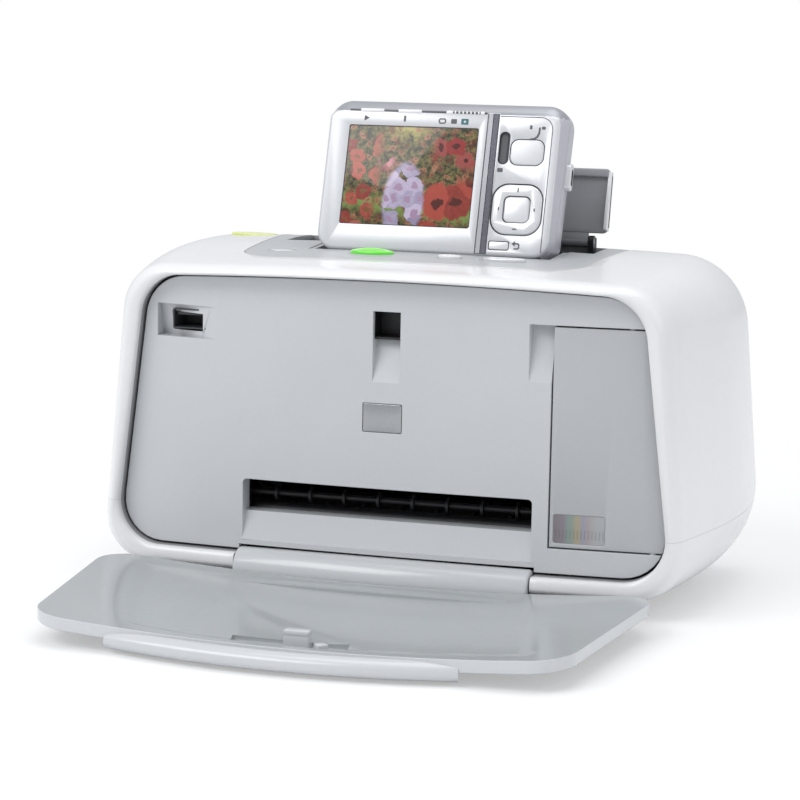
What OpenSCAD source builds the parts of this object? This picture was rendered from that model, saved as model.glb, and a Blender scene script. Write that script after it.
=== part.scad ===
// Compact photo printer: swelling casing with a framed front, a fold-down front
// tray, a cartridge door, a rear paper lid and a pocket camera docked on its top deck.
// Millimetres. X runs to the right, Y to the back, Z up. Inside the modules y = 0 is the
// foremost line of the front frame; placed() moves it so that the origin is the middle of
// the footprint, tray included.

/* [Casing] */
// Width of the front frame at its base
ring_w = 220; // [216:1:226]
// Width of the front frame at its top
ring_top_w = 200; // [196:1:204]
// Height of the frame's underside above the floor
base_z = 7.4; // [6.8:0.1:8]
// Height of the frame's top corners above the floor
ring_top_z = 117.6; // [116:0.2:120]
// Depth of the casing
body_d = 115; // [114:1:120]
// How far each side swells out behind the frame
side_swell = 11.5; // [8:0.5:13]
// How far the top rises behind the frame
top_rise = 3.9; // [3.5:0.1:4.5]
// Extra height of the middle of the top
crown = 3; // [2.6:0.1:3.4]
// Corner radius of the front frame
ring_r = 16.5; // [15:0.5:18]
// Corner radius at the back of the casing
back_r = 27; // [22:1:30]
// How far the back end is drawn in
back_in = 7; // [4:0.5:9]
// How far the underside lifts at the back end
back_lift = 10; // [6:0.5:12]
// Wall thickness of the casing
wall = 2.4; // [2:0.1:2.8]
// Height of the seam between the two shells
seam_z = 30; // [29.7:0.1:31]
// Radius of the feet
foot_r = 6; // [4:0.5:8]

/* [Front face] */
// Half width of the face opening at its base
face_half = 105.4; // [105:0.1:106]
// Half width of the face opening at its top
face_top_half = 93.1; // [92.6:0.1:93.6]
// Height of the opening's lower edge
face_z0 = 14.1; // [14:0.1:14.4]
// Height of the opening's upper edge at its corners
face_z1 = 114.3; // [113.8:0.1:114.6]
// Corner radius of the opening
face_r = 15.8; // [14:0.2:17]
// How far the face lies behind the frame
face_y = 6.5; // [6.4:0.1:7]
// Thickness of the front panel and its door
panel_t = 2.4; // [2:0.1:2.6]
// Half width of the photo outlet
outlet_half = 54.7; // [53:0.1:55]
// Height of the outlet's lower edge
outlet_z0 = 18.8; // [18.4:0.1:19.2]
// Height of the outlet's upper edge
outlet_z1 = 41.2; // [40.5:0.1:42]
// Half width of the tray latch opening
latch_half = 5.1; // [4.8:0.1:5.6]
// Height of the lower edge of the latch opening
latch_z0 = 96.4; // [96:0.1:97]
// Height of the latch opening
latch_h = 9.4; // [9:0.1:10]
// Left edge of the host socket
usb_x = -82.8; // [-84:0.1:-80]
// Lower edge of the host socket
usb_z = 95.8; // [95:0.1:97]
// Width of the host socket's mouth
usb_w = 12.9; // [12.5:0.1:13.5]
// Height of the host socket's mouth
usb_h = 6.3; // [6:0.1:6.6]

/* [Cartridge door] */
// Left edge of the door
door_x = 60.6; // [60:0.1:61.5]
// Lower edge of the door
door_z0 = 24; // [23.4:0.1:24.6]
// Upper edge of the door
door_z1 = 104; // [103:0.1:104.6]
// Gap all round the door
door_gap = 0.6; // [0.5:0.05:0.8]
// Radius of the door's hinge pins
door_pin_r = 1.2; // [1:0.05:1.3]

/* [Output tray] */
// Thickness of the tray
tray_t = 4.5; // [3.8:0.1:4.6]
// Distance of the hinge line behind the frame's foremost line
hinge_y = 6.5; // [6.4:0.1:6.8]
// Height of the tray's hinge line
hinge_z = 8.3; // [8.1:0.1:8.6]
// Radius of the tray's hinge pins
hinge_pin_r = 1.6; // [1.4:0.1:1.8]
// Half width of the hinge tongue
tongue_half = 55.5; // [54:0.1:55.6]
// Depth of the paper bed in the tray
bed_depth = 1; // [0.6:0.1:1.4]
// Half width of the paper bed
bed_half = 84; // [80:1:86]
// Height of the latch hook above the tray
hook_h = 8.6; // [7:0.1:9]

/* [Top deck] */
// Half width of the deck at its front
deck_half = 66; // [64:1:68]
// Distance of the deck's front edge from the frame's foremost line
deck_y0 = 24; // [22:1:26]
// Distance of the deck's back edge from the frame's foremost line
deck_y1 = 107; // [106.6:0.2:108]
// Corner radius of the deck
deck_r = 17; // [14:1:20]
// Thickness of the deck
deck_t = 2.6; // [2.2:0.1:3]
// Half width of the paper inlet
inlet_half = 56; // [55:0.5:57]
// Front edge of the paper inlet
inlet_y0 = 78; // [77:0.5:79]
// Hinge line of the rear lid, from the frame's foremost line
lid_y = 99.6; // [99.4:0.1:99.8]
// Height of the rear lid
lid_h = 27.6; // [26:0.2:27.8]
// Backward lean of the open lid and the paper bed below it
lean = 14; // [12:0.5:15]
// Thickness of the rear lid's plate
lid_t = 2.2; // [1.8:0.1:2.4]

/* [Docked camera] */
// Width of the camera
cam_w = 89.6; // [88:0.2:91]
// Height of the camera
cam_h = 58.6; // [57:0.2:60]
// Thickness of the camera
cam_t = 20; // [19:0.2:20.4]
// Corner radius of the camera
cam_r = 7; // [5:0.5:9]
// Backward tilt of the docked camera
cam_tilt = 18; // [16:0.5:19]
// Sideways place of the camera's middle
cam_x = 4; // [2:0.5:6]
// Distance of the camera's lower screen edge from the frame's foremost line
cam_y = 46.5; // [46:0.1:47]
// Height of the camera's lower screen edge
cam_z = 123.6; // [123.4:0.1:124.2]
// Gap between the screen and the trim strip
screen_gap = 3.1; // [2.8:0.1:5]
// Height of the screen
screen_h = 38.2; // [36:0.2:39]
// Travel of the camera's buttons
key_travel = 0.6; // [0.4:0.1:0.8]

/* [Mechanism] */
// How far the chassis side plates lie inside the frame's base
chassis_in = 8; // [7:0.5:9]
// Thickness of the chassis plates
plate_t = 1.6; // [1.2:0.1:2]
// Height of the paper path above the floor
paper_z = 31; // [30.8:0.1:31.2]
// Radius of the feed roller
feed_r = 6; // [5.6:0.1:6.2]
// Radius of the roller shafts
shaft_r = 2.5; // [2:0.1:3]
// Radius of the guide rod
rod_r = 3; // [2.6:0.1:3.2]
// Radial running clearance of shafts in bores
run_gap = 0.05; // [0.03:0.01:0.08]
// Gear module: pitch diameter over teeth
gear_m = 0.7; // [0.68:0.01:0.72]
// Teeth of the feed gear
feed_teeth = 32; // [30:2:32]
// Teeth of the idler gear
idler_teeth = 27; // [27:1:28]
// Teeth of the output gear
out_teeth = 18; // [17:1:18]
// Teeth of the pick roller's gear
pick_teeth = 28; // [26:1:28]
// Teeth of the motor pinion
pinion_teeth = 10; // [10:1:12]
// Width of the gears
gear_w = 3.4; // [3:0.2:3.6]
// Radius of the belt pulleys
pulley_r = 6; // [5.5:0.1:6.2]
// Width of the ink cartridge
ink_w = 31.4; // [29:0.2:32]
// Depth of the ink cartridge
ink_d = 25.4; // [24:0.2:25.6]
// Height of the ink cartridge
ink_h = 46; // [42:0.5:47]
// Distance of the parked carriage's middle from the chassis' side
home_in = 22; // [21.4:0.2:23]

/* [Hidden] */
$fn = 48;
eps = 0.01;
big = 400;
fit = 0.3;                              // clearance round pieces that come apart
seat = 0.05;                            // gap between pieces that rest on each other
swell_y = 0.69 * body_d;                // where the casing is widest
fall_power = 2.6;                       // roundness of the back end
nose_in = 2.6;                          // how far the frame's front edge is drawn in
nose_d = 7;                             // depth of that rounding
bow = 0.00043;                          // the face bows: y grows by bow * x^2
bow_r = 1 / (2 * bow);
corner_n = 5;                           // steps in each corner arc
reach = face_z1 - hinge_z - 0.8;        // hinge line to the tray's far edge
lip_d = 11.5;                           // how far the tray's lip stands past its plate
bar_r = 4.1;                            // bar along the tray's hinge
bar_up = 3.6;                           // bar's middle above the hinge line of the open tray
bar_in = 1.3;                           // and in front of it
bar_reach = sqrt(bar_up * bar_up + bar_in * bar_in) + bar_r;
sill_z = hinge_z + bar_reach + 0.4;     // lower edge of the face above the bar
lip_drop = 2.9;                         // how far the lip hangs below the tray
lip_gap = 0.3;                          // lip's clearance in front of the frame
front_y = hinge_y - reach - lip_d;      // foremost point of the open tray
origin_y = (body_d + front_y) / 2;
panel_back = face_y + panel_t;
out_y = 21.4;                           // output roller's axis
out_r = feed_r * out_teeth / feed_teeth; // both rollers have one surface speed
roll_z = paper_z - feed_r;
out_z = paper_z - out_r;
train_d = gear_m * (feed_teeth / 2 + idler_teeth + out_teeth / 2);
train_tilt = asin((out_z - roll_z) / train_d);
feed_y = out_y + train_d * cos(train_tilt);
idler_d = gear_m * (out_teeth + idler_teeth) / 2;
idler_y = out_y + idler_d * cos(train_tilt);
idler_z = out_z - idler_d * sin(train_tilt);
star_r = 3;
star_z = paper_z + 0.2 + star_r;
pinch_r = 4;
pinch_z = paper_z + 0.2 + pinch_r;
pick_r = 7;
pick_angle = 58.6;
pick_d = gear_m * (feed_teeth + pick_teeth) / 2;
pick_y = feed_y + pick_d * cos(pick_angle);
pick_z = roll_z + pick_d * sin(pick_angle);
pinion_angle = -18;
pinion_d = gear_m * (feed_teeth + pinion_teeth) / 2;
pinion_y = feed_y + pinion_d * cos(pinion_angle);
pinion_z = roll_z + pinion_d * sin(pinion_angle);
chassis_half = ring_w / 2 - chassis_in; // chassis side plates, outside
home_x = chassis_half - home_in;        // middle of the parked carriage
gear_x = -chassis_half - gear_w - 0.6;  // left face of the gear plane
floor_z = base_z + wall;                // top of the casing's floor
rod_y = 60;
rod_z = 58;
belt_y = 69;
belt_w = 4;
belt_z = 60;
pulley_x = chassis_half - 10;
rail_y = 75;
ink_y = 25.2;                           // front of the cartridge
ink_z = 38.2;
lid_z = top_height(lid_y) + 1.6;        // rear lid's hinge line
chute_y = lid_y - 0.6;                  // paper bed plane at the lid's hinge height
cam_edge = 6.5;                         // thickness of the camera's screen-side shell
strip_x = cam_w / 2 - 25.8;             // middle of the trim strip
strip_w = 4.2;
screen_x = 8.2 - cam_w / 2;             // screen's left edge from the camera's middle
screen_z = 9.8;                         // screen's lower edge above the camera's base
screen_w = strip_x - strip_w / 2 - screen_gap - screen_x;
pad_x = cam_w / 2 - 13.6;               // middle of the four-way pad
pad_z = 17.7;
pad_w = 19;
ok_w = 9.6;
key_fit = 0.25;
review_x = cam_w / 2 - 19;
review_w = 7.4;
shell_white = [0.90, 0.90, 0.91];
face_grey = [0.78, 0.79, 0.80];
door_grey = [0.71, 0.72, 0.73];
tray_grey = [0.65, 0.67, 0.68];
deck_grey = [0.71, 0.73, 0.74];
lid_grey = [0.47, 0.48, 0.50];
black = [0.12, 0.12, 0.13];
silver = [0.75, 0.76, 0.78];
steel = [0.62, 0.63, 0.65];
green = [0.45, 0.78, 0.20];

// ---------- casing form ----------

function swell(y) = sin(90 * min(1, y / swell_y));
function back_part(y) = max(0, (y - swell_y) / (body_d - swell_y));
function fall(y) = 1 - pow(1 - pow(min(1, back_part(y)), fall_power), 1 / fall_power);
function nose(y) = y >= nose_d ? 0 : nose_in * (1 - sqrt(1 - pow(1 - y / nose_d, 2)));
function top_height(y) = ring_top_z + top_rise * swell(y) - back_in * fall(y) + crown;

// Right half of a trapezoid with round corners and a crowned top, then its mirror image
function half_outline(wb, wt, z0, z1, r) =
    let (s = (wb - wt) / (z1 - z0), k = sqrt(1 + s * s), phi = atan(s))
    concat(
        [for (i = [0:corner_n]) let (a = -90 + (90 + phi) * i / corner_n)
            [wb - s * r - r * k + r * cos(a), z0 + r + r * sin(a)]],
        [for (i = [0:corner_n]) let (a = phi + (90 - phi) * i / corner_n)
            [wb - s * (z1 - r - z0) - r * k + r * cos(a), z1 - r + r * sin(a)]],
        [[wt * 0.5, z1], [wt * 0.25, z1]]);
function crowned(p, half, z0, z1) =
    [for (q = p) [q[0], q[1] + crown * (1 - pow(q[0] / half, 2)) * pow((q[1] - z0) / (z1 - z0), 2)]];
function mirrored(p) = concat(p, [for (i = [len(p) - 1:-1:0]) [-p[i][0], p[i][1]]]);
function outline(wb, wt, z0, z1, r) = mirrored(crowned(half_outline(wb, wt, z0, z1, r), wb, z0, z1));

// Outline of the casing at depth y, drawn in by g
function casing_outline(y, g) =
    let (side = side_swell * swell(y) - back_in * fall(y) - nose(y) - g,
        up = top_rise * swell(y) - back_in * fall(y) - nose(y) - g,
        down = nose(y) + g + back_lift * fall(y))
    outline(ring_w / 2 + side, ring_top_w / 2 + side, base_z + down, ring_top_z + up,
        ring_r + (back_r - ring_r) * y / body_d - min(g, 3));
function face_outline(g) =
    outline(face_half - g, face_top_half - g, face_z0 + g, face_z1 - g, face_r - g);

module casing_slice(y, g) {
    p = casing_outline(y, g);
    polyhedron(points = [for (q = p) [q[0], y + bow * q[0] * q[0] * (1 - y / body_d), q[1]]],
        faces = [[for (i = [0:len(p) - 1]) i]]);
}

// Solid casing form between two depths, drawn in by g
module casing_form(g, y0, y1) {
    steps = [0, 0.012, 0.03, 0.06, 0.14, 0.27, 0.42, 0.56, 0.7, 0.82, 0.91, 0.96, 0.987, 1];
    for (i = [0:len(steps) - 2]) hull() {
        casing_slice(y0 + (y1 - y0) * steps[i], g);
        casing_slice(y0 + (y1 - y0) * steps[i + 1], g);
    }
}

// A flat outline in X and Z, from depth y0 to y1
module prism(p, y0, y1) translate([0, y1, 0]) rotate([90, 0, 0]) linear_extrude(y1 - y0) polygon(p);

// A plate that follows the bow of the face, its front at depth y
module bowed_plate(y, t) difference() {
    translate([0, y + bow_r, 0]) cylinder(r = bow_r, h = big, $fn = 720);
    translate([0, y + t + bow_r, -1]) cylinder(r = bow_r, h = big + 2, $fn = 720);
}

module placed() translate([0, -origin_y, 0]) children();
module box(x0, x1, y0, y1, z0, z1) translate([x0, y0, z0]) cube([x1 - x0, y1 - y0, z1 - z0]);
module rod_x(r, x0, x1, y, z) translate([x0, y, z]) rotate([0, 90, 0]) cylinder(r = r, h = x1 - x0);
module rod_y(r, y0, y1, x, z) translate([x, y1, z]) rotate([90, 0, 0]) cylinder(r = r, h = y1 - y0);

// Rounded rectangle w by h about its middle
function rounded(w, h, r) = [for (c = [[1, 1, 0], [-1, 1, 90], [-1, -1, 180], [1, -1, 270]])
    for (i = [0:corner_n]) let (a = c[2] + 90 * i / corner_n)
        [c[0] * (w / 2 - r) + r * cos(a), c[1] * (h / 2 - r) + r * sin(a)]];

// ---------- casing ----------

deck_side = 4;                          // how much wider the deck is at its back
function deck_points(g) = let (w = deck_half - g, y0 = deck_y0 + g, y1 = deck_y1 - g, b = w + deck_side)
    mirrored(concat(
        [for (i = [0:corner_n]) let (a = -90 + 80 * i / corner_n)
            [w - deck_r + deck_r * cos(a), y0 + deck_r + deck_r * sin(a)]],
        [[b, y1 - 6], [b - 6, y1]]));
module deck_hole(g) translate([0, 0, ring_top_z - 14]) linear_extrude(60) polygon(deck_points(g));

power_at = [-81, 91];                   // middle of the power button
power_oval = [9.5, 4];
post_x = 90;
post_y = 99;
post_r = 3.6;
posts = [[-post_x, post_y], [post_x, post_y]];
screw_r = 1.5;
head_r = 2.8;
head_z = floor_z + 0.6;                 // top of the screw heads' counterbores
boss_z = floor_z + 2.6;
notch_half = tongue_half + 0.5;
bracket_w = 5;
bracket_x = notch_half + bracket_w + 0.1;
port_z = 26;                            // middle height of the rear sockets
rear_usb_x = -34;
inlet_x = -58;

module hollow_casing() difference() {
    casing_form(0, 0, body_d);
    casing_form(wall, panel_back + fit, body_d - wall);
    prism(face_outline(0), -20, panel_back + fit + 5);
}

module base_shell() color(shell_white) placed() difference() {
    union() {
        hollow_casing();
        for (p = posts) translate([p[0], p[1], floor_z - 0.4]) cylinder(r = head_r + 1.8, h = boss_z - floor_z + 0.4);
    }
    for (p = posts) translate([p[0], p[1], -1]) cylinder(r = screw_r + fit, h = seam_z);
    box(-big, big, -big, big, seam_z, big);
    box(-notch_half, notch_half, -9, hinge_y + bar_reach + 0.5, -1, sill_z);
    box(-bracket_x, bracket_x, hinge_y - 3.2, panel_back + 1, -1, hinge_z + 3.2);
    for (p = posts) translate([p[0], p[1], -1]) cylinder(r = head_r + fit, h = head_z + 1);
    box(rear_usb_x - 7, rear_usb_x + 7, body_d - 16, body_d + 9, port_z - 7, seam_z + 1);
    box(inlet_x - 8, inlet_x + 8, body_d - 16, body_d + 9, port_z - 6, seam_z + 1);
}

module top_shell() color(shell_white) placed() {
    difference() {
        hollow_casing();
        box(-big, big, -big, big, -1, seam_z);
        deck_hole(0);
        translate([power_at[0], power_at[1], 100]) oval(power_oval[0] + fit, power_oval[1] + fit, 60);
        box(rear_usb_x - 7, rear_usb_x + 7, body_d - 16, body_d + 9, seam_z - 1, port_z + 7);
        box(inlet_x - 8, inlet_x + 8, body_d - 16, body_d + 9, seam_z - 1, port_z + 6);
    }
    for (p = posts) difference() {
        intersection() {
            translate([p[0], p[1], boss_z + 0.1]) cylinder(r = post_r, h = ring_top_z);
            casing_form(1, 2, body_d - 1);
        }
        translate([p[0], p[1], 0]) cylinder(r = screw_r, h = floor_z + 16);
    }
    deck_ledge();
}

// Ledge under the deck's edge
module deck_ledge() {
    intersection() {
        difference() {
            deck_hole(-1.6);
            deck_hole(0);
        }
        difference() {
            casing_form(wall - fit, 3, body_d - wall);
            casing_form(deck_t + 1.7, 4, body_d - 4);
        }
    }
    intersection() {
        difference() {
            deck_hole(-1.6);
            deck_hole(2.6);
        }
        difference() {
            casing_form(deck_t + 0.1, 3, body_d - deck_t);
            casing_form(deck_t + 1.7, 4, body_d - 4);
        }
    }
}

module feet() color(black) placed()
    for (x = [-84, 84]) for (y = [26, 84])
        translate([x, y, 0]) cylinder(r = foot_r, h = base_z);

module case_screws() color(steel) placed()
    for (p = posts) translate([p[0], p[1], 0]) {
        translate([0, 0, head_z - 1.5]) cylinder(r = head_r, h = 1.45);
        translate([0, 0, head_z - 1]) cylinder(r = screw_r - run_gap, h = 12);
    }

// ---------- front face ----------

function door_half(z) = face_half - (face_half - face_top_half) * (z - face_z0) / (face_z1 - face_z0);
door_slope = atan((face_half - face_top_half) / (face_z1 - face_z0));
door_mid = (door_z0 + door_z1) / 2;
pivot_in = 6.1;                         // hinge line's distance from the opening's edge
pivot_x = door_half(door_mid) - pivot_in;
pivot_y = face_y + bow * pow(pivot_x, 2) + 1.8;
module on_door_axis() translate([pivot_x, pivot_y, door_mid]) rotate([0, -door_slope, 0]) children();
door_len = (door_z1 - door_z0) / cos(door_slope);
ear_h = 2.6;
module door_points(g) polygon([
    [door_x + g, door_z0 + g], [door_half(door_z0) + (g > 0 ? -0.75 : 2), door_z0 + g],
    [door_half(door_z1) + (g > 0 ? -0.75 : 2), door_z1 - g], [door_x + g, door_z1 - g]]);
scoop_w = 8;
scoop_h = 20.5;

module front_panel() color(face_grey) placed() difference() {
    union() {
        difference() {
            intersection() {
                prism(face_outline(0.15), 0, 20);
                bowed_plate(face_y, panel_t);
            }
            translate([0, 20, 0]) rotate([90, 0, 0]) linear_extrude(20) door_points(0);
            box(-outlet_half, outlet_half, -1, 20, outlet_z0, outlet_z1);
            box(-latch_half, latch_half, -1, 20, latch_z0, latch_z0 + latch_h);
            box(usb_x - 0.6, usb_x + usb_w + 0.6, -1, 20, usb_z - 0.6, usb_z + usb_h + 0.6);
        }
        // Outlet: a box behind the face, with the sloping ledge below the mouth
        difference() {
            box(-outlet_half - 1.6, outlet_half + 1.6, panel_back - 0.6, out_y - out_r - 0.3,
                outlet_z0 - 1.4, outlet_z1 + 1.4);
            box(-outlet_half, outlet_half, -1, 20, outlet_z0, outlet_z1);
        }
        translate([-outlet_half - 0.5, 0, 0]) rotate([90, 0, 90]) linear_extrude(2 * outlet_half + 1)
            polygon([[face_y + 1.5, outlet_z0 - 0.2], [out_y - out_r - 0.3, outlet_z0 - 0.2],
                [out_y - out_r - 0.3, paper_z - 3.4], [face_y + 3, paper_z - 3.4]]);
        // Ears of the door's hinge
        for (z = [-door_len / 2 - ear_h - 0.1, door_len / 2 + 0.1]) on_door_axis()
            translate([-2.6, -1, z]) cube([4.5, 4.6, ear_h]);
    }
    box(-notch_half, notch_half, -1, 20, 0, sill_z);
    for (z = [-door_len / 2 - ear_h - 2, door_len / 2 - 1]) on_door_axis()
        translate([0, 0, z]) cylinder(r = door_pin_r + run_gap, h = ear_h + 4);
    // Finger scoop beside the door, and the badge recess
    translate([door_x - scoop_w / 2, face_y - 3.1, door_z1 - scoop_h]) rotate([8, 0, 0])
        box(-scoop_w / 2, scoop_w / 2 + 1, 0, 3.4, 0, scoop_h);
    box(-7.6, 7.6, -1, face_y + 1.32, 61.6, 72.6);
}

module badge_plate() color(steel) placed() box(-7.4, 7.4, face_y + 0.72, face_y + 1.3, 61.8, 72.4);

module cartridge_door() color(door_grey) placed() difference() {
    union() {
        intersection() {
            translate([0, 20, 0]) rotate([90, 0, 0]) linear_extrude(20) door_points(door_gap);
            prism(face_outline(0.75), 0, 20);
            bowed_plate(face_y, panel_t);
        }
        for (z = [-door_len / 2 - ear_h + 0.4, door_len / 2 - ear_h - 0.4]) on_door_axis()
            translate([0, 0, z]) cylinder(r = door_pin_r, h = 2 * ear_h);
    }
    intersection() {
        bowed_plate(face_y - 3, 3.7);
        box(door_x + 2, door_x + 20.4, -1, 20, door_z0 + 2, door_z0 + 12.6);
    }
}

module ink_label() color(shell_white) placed() intersection() {
    bowed_plate(face_y + 0.3, 0.38);
    box(door_x + 2.2, door_x + 20.2, 0, 20, door_z0 + 2.2, door_z0 + 12.4);
}

// ---------- output tray ----------

// Modelled shut, then turned down about its hinge line
module laid_open() translate([0, hinge_y, hinge_z]) rotate([90, 0, 0]) translate([0, -hinge_y, -hinge_z]) children();
tray_y = face_y - 0.5 - tray_t;         // outer face of the shut tray
tray_gap = 0.9;
lip_half = 56;
toe_gap = 2.2;                          // the tray's lower edge clears the frame as it swings
tray_z0 = face_z0 + toe_gap;

module output_tray() color(tray_grey) placed() laid_open() difference() {
    union() {
        intersection() {
            prism(face_outline(tray_gap), -20, 20);
            bowed_plate(tray_y, tray_t);
        }
        // Grip lip along the far edge
        intersection() {
            box(-lip_half, lip_half, tray_y - lip_drop, tray_y + tray_t, face_z1 - 11, hinge_z + reach + 9);
            prism(face_outline(tray_gap), -20, 20);
        }
        prism([for (p = [[1, -0.4], [1, 0.18], [0.94, 0.34], [0.8, 0.53], [0.6, 0.74], [0.4, 0.89], [0.2, 0.97], [0, 1],
            [-0.2, 0.97], [-0.4, 0.89], [-0.6, 0.74], [-0.8, 0.53], [-0.94, 0.34], [-1, 0.18], [-1, -0.4]])
            [p[0] * lip_half, hinge_z + reach + p[1] * lip_d]], tray_y - lip_drop, -lip_gap);
        // Tongue to the hinge
        box(-tongue_half, tongue_half, tray_y + 0.6, tray_y + tray_t, hinge_z, tray_z0 + 4);
        rod_x(2.9, -tongue_half, tongue_half, hinge_y, hinge_z);
        rod_x(bar_r, -tongue_half, tongue_half, hinge_y + bar_up, hinge_z + bar_in);
    }
    // Paper bed, sunk into the inner face
    intersection() {
        bowed_plate(tray_y + tray_t - bed_depth, 20);
        prism([for (p = [[-1, 0], [1, 0], [1, 1], [-1, 1]])
            [p[0] * (bed_half - 14 * p[1]), tray_z0 + 6 + 84 * p[1]]], 0, 20);
    }
    // Recess for the hook's block
    box(-26, 14, tray_y + tray_t - bed_depth - 0.6, 20, 99, 107);
    rod_x(hinge_pin_r, -tongue_half - 1, tongue_half + 1, hinge_y, hinge_z);
    // Clear of the frame's lower run while the tray swings
    for (s = [-1, 1]) translate([s * (tongue_half + 60), 0, 0])
        box(-60, 60, -20, 20, -20, tray_z0);
}

module tray_hook() color(tray_grey) placed() laid_open() {
    difference() {
        box(-4.4, 4.4, tray_y + tray_t - bed_depth - 0.6, face_y + hook_h - 3, 99.4, 103.6);
        box(-5, -1.2, face_y + 1.2, face_y + hook_h, 99, 102.2);
    }
    box(-4.4, 4.4, face_y + hook_h - 4.2, face_y + hook_h - 3, 98.2, 103.6);
}

module tray_hinge_pins() color(steel) placed()
    for (s = [-1, 1]) rod_x(hinge_pin_r - run_gap, min(s * (tongue_half - 12), s * (tongue_half + 5)),
        max(s * (tongue_half - 12), s * (tongue_half + 5)), hinge_y, hinge_z);

module hinge_brackets() color(shell_white) placed() for (s = [-1, 1]) difference() {
    translate([s * (tongue_half + 0.5 + bracket_w / 2), 0, 0])
        box(-bracket_w / 2, bracket_w / 2, hinge_y - 3, panel_back + 0.8, hinge_z - 3, hinge_z + 3);
    rod_x(hinge_pin_r, -90, 90, hinge_y, hinge_z);
}

// ---------- top deck ----------

lid_half = inlet_half + 3.6;
seat_gap = 0.8;                         // clearance round the shut lid
lid_rim = 5.4;                          // depth of the lid's side walls from its hinge line
lid_back = -0.2;                        // outer face of the lid, from its hinge line
knuckle_x = 44;                         // middle of each lid knuckle
module leaned(y, z) translate([0, y, z]) rotate([-lean, 0, 0]) children();
module dock_frame() translate([cam_x, cam_y, cam_z]) rotate([-cam_tilt, 0, 0]) children();
oval_n = 32;
module oval(a, b, h) linear_extrude(h) polygon([for (i = [0:oval_n - 1]) [a * cos(360 * i / oval_n), b * sin(360 * i / oval_n)]]);
window_at = [-16.3, 40];
button_at = [14, 38];
print_at = [34.6, 38];

module dock_deck() color(deck_grey) placed() difference() {
    intersection() {
        casing_form(0.15, 0.5, body_d - 0.5);
        deck_hole(fit);
    }
    casing_form(deck_t, 3, body_d - deck_t);
    // Seat that takes the shut lid, open to the paper inlet below
    box(-lid_half - seat_gap, lid_half + seat_gap, lid_y - lid_h - seat_gap, lid_y + 3.4, 90, 140);
    // Opening for the cradle, running back into the lid's seat
    dock_frame() box(-cradle_half - fit, cradle_half + fit, 0, cam_t + 5, -4, 40);
    for (b = [[window_at, 8.4, 3.4], [button_at, 4.4, 2.4], [print_at, 8, 3]])
        translate([b[0][0], b[0][1], 100]) oval(b[1] + fit, b[2] + fit, 40);
}

cradle_half = cam_w / 2 + 2.2;
cradle_back = 2.4;                      // how far the cradle runs on behind the camera
module dock_cradle() color(deck_grey) placed() {
    difference() {
        union() {
            intersection() {
                dock_frame() box(-cradle_half, cradle_half, 0.3, cam_t + cradle_back, -3.4, 12);
                casing_form(0.3, 1, body_d - 1);
            }
            // Flange under the deck
            intersection() {
                dock_frame() box(-cradle_half - 4, cradle_half + 4, -3, cam_t - 2, -4.4, 12);
                casing_form(deck_t + 0.1, 3, body_d - deck_t);
            }
        }
        dock_frame() box(-cam_w / 2 - 0.4, cam_w / 2 + 0.4, -10, cam_t + 10, -0.1, 20);
    }
    dock_frame() box(-plug_half, plug_half, 8.4, 12.6, -0.5, 2.2);
}
plug_half = 10;                         // half width of the dock's plug

module at_top(p, dz) translate([p[0], p[1], casing_z(p) + dz]) children();
// Height of the outer surface above a place on the top
function casing_z(p) = let (h = ring_top_z + top_rise * swell(p[1]) - back_in * fall(p[1]))
    h + crown * (1 - pow(p[0] / (ring_w / 2 + side_swell * swell(p[1])), 2));

module power_button() color(green) placed() at_top(power_at, -2.6) oval(power_oval[0], power_oval[1], 3.4);
module light_window() color(green) placed() at_top(window_at, -1.6) oval(8.4, 3.4, 1.9);
module deck_button() color(shell_white) placed() at_top(button_at, -2.2) oval(4.4, 2.4, 3);
module print_button() color(silver) placed() at_top(print_at, -2.2) oval(8, 3, 3);

module paper_lid() color(lid_grey) placed() leaned(lid_y, lid_z) difference() {
    union() {
        box(-lid_half, lid_half, lid_back - lid_t, lid_back, 2.8, lid_h);
        for (s = [-1, 1]) translate([s * (lid_half - 1), 0, 0]) box(-1, 1, -lid_rim, lid_back, 4, lid_h - 0.6);
        box(-lid_half, lid_half, -lid_rim + 1, lid_back, lid_h - 3.2, lid_h);
        for (s = [-1, 1]) rod_x(2.2, s * knuckle_x - 8, s * knuckle_x + 8, 0, 0);
        for (s = [-1, 1]) translate([s * knuckle_x, 0, 0]) box(-8, 8, lid_back - 2, lid_back, 0, 4);
    }
    rod_x(1.2, -60, 60, 0, 0);
}

module lid_hinge_pins() color(steel) placed() leaned(lid_y, lid_z)
    for (s = [-1, 1]) rod_x(1.2 - run_gap, s * knuckle_x - 10.2, s * knuckle_x + 10.2, 0, 0);

guide_back = lid_back - lid_t - 0.1;
module paper_guide() color(lid_grey) placed() leaned(lid_y, lid_z) {
    box(-53, -51.8, -lid_rim + 0.2, guide_back, 6, lid_h - 5);
    box(-53, -44, guide_back - 1, guide_back, 8, 16);
}

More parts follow.
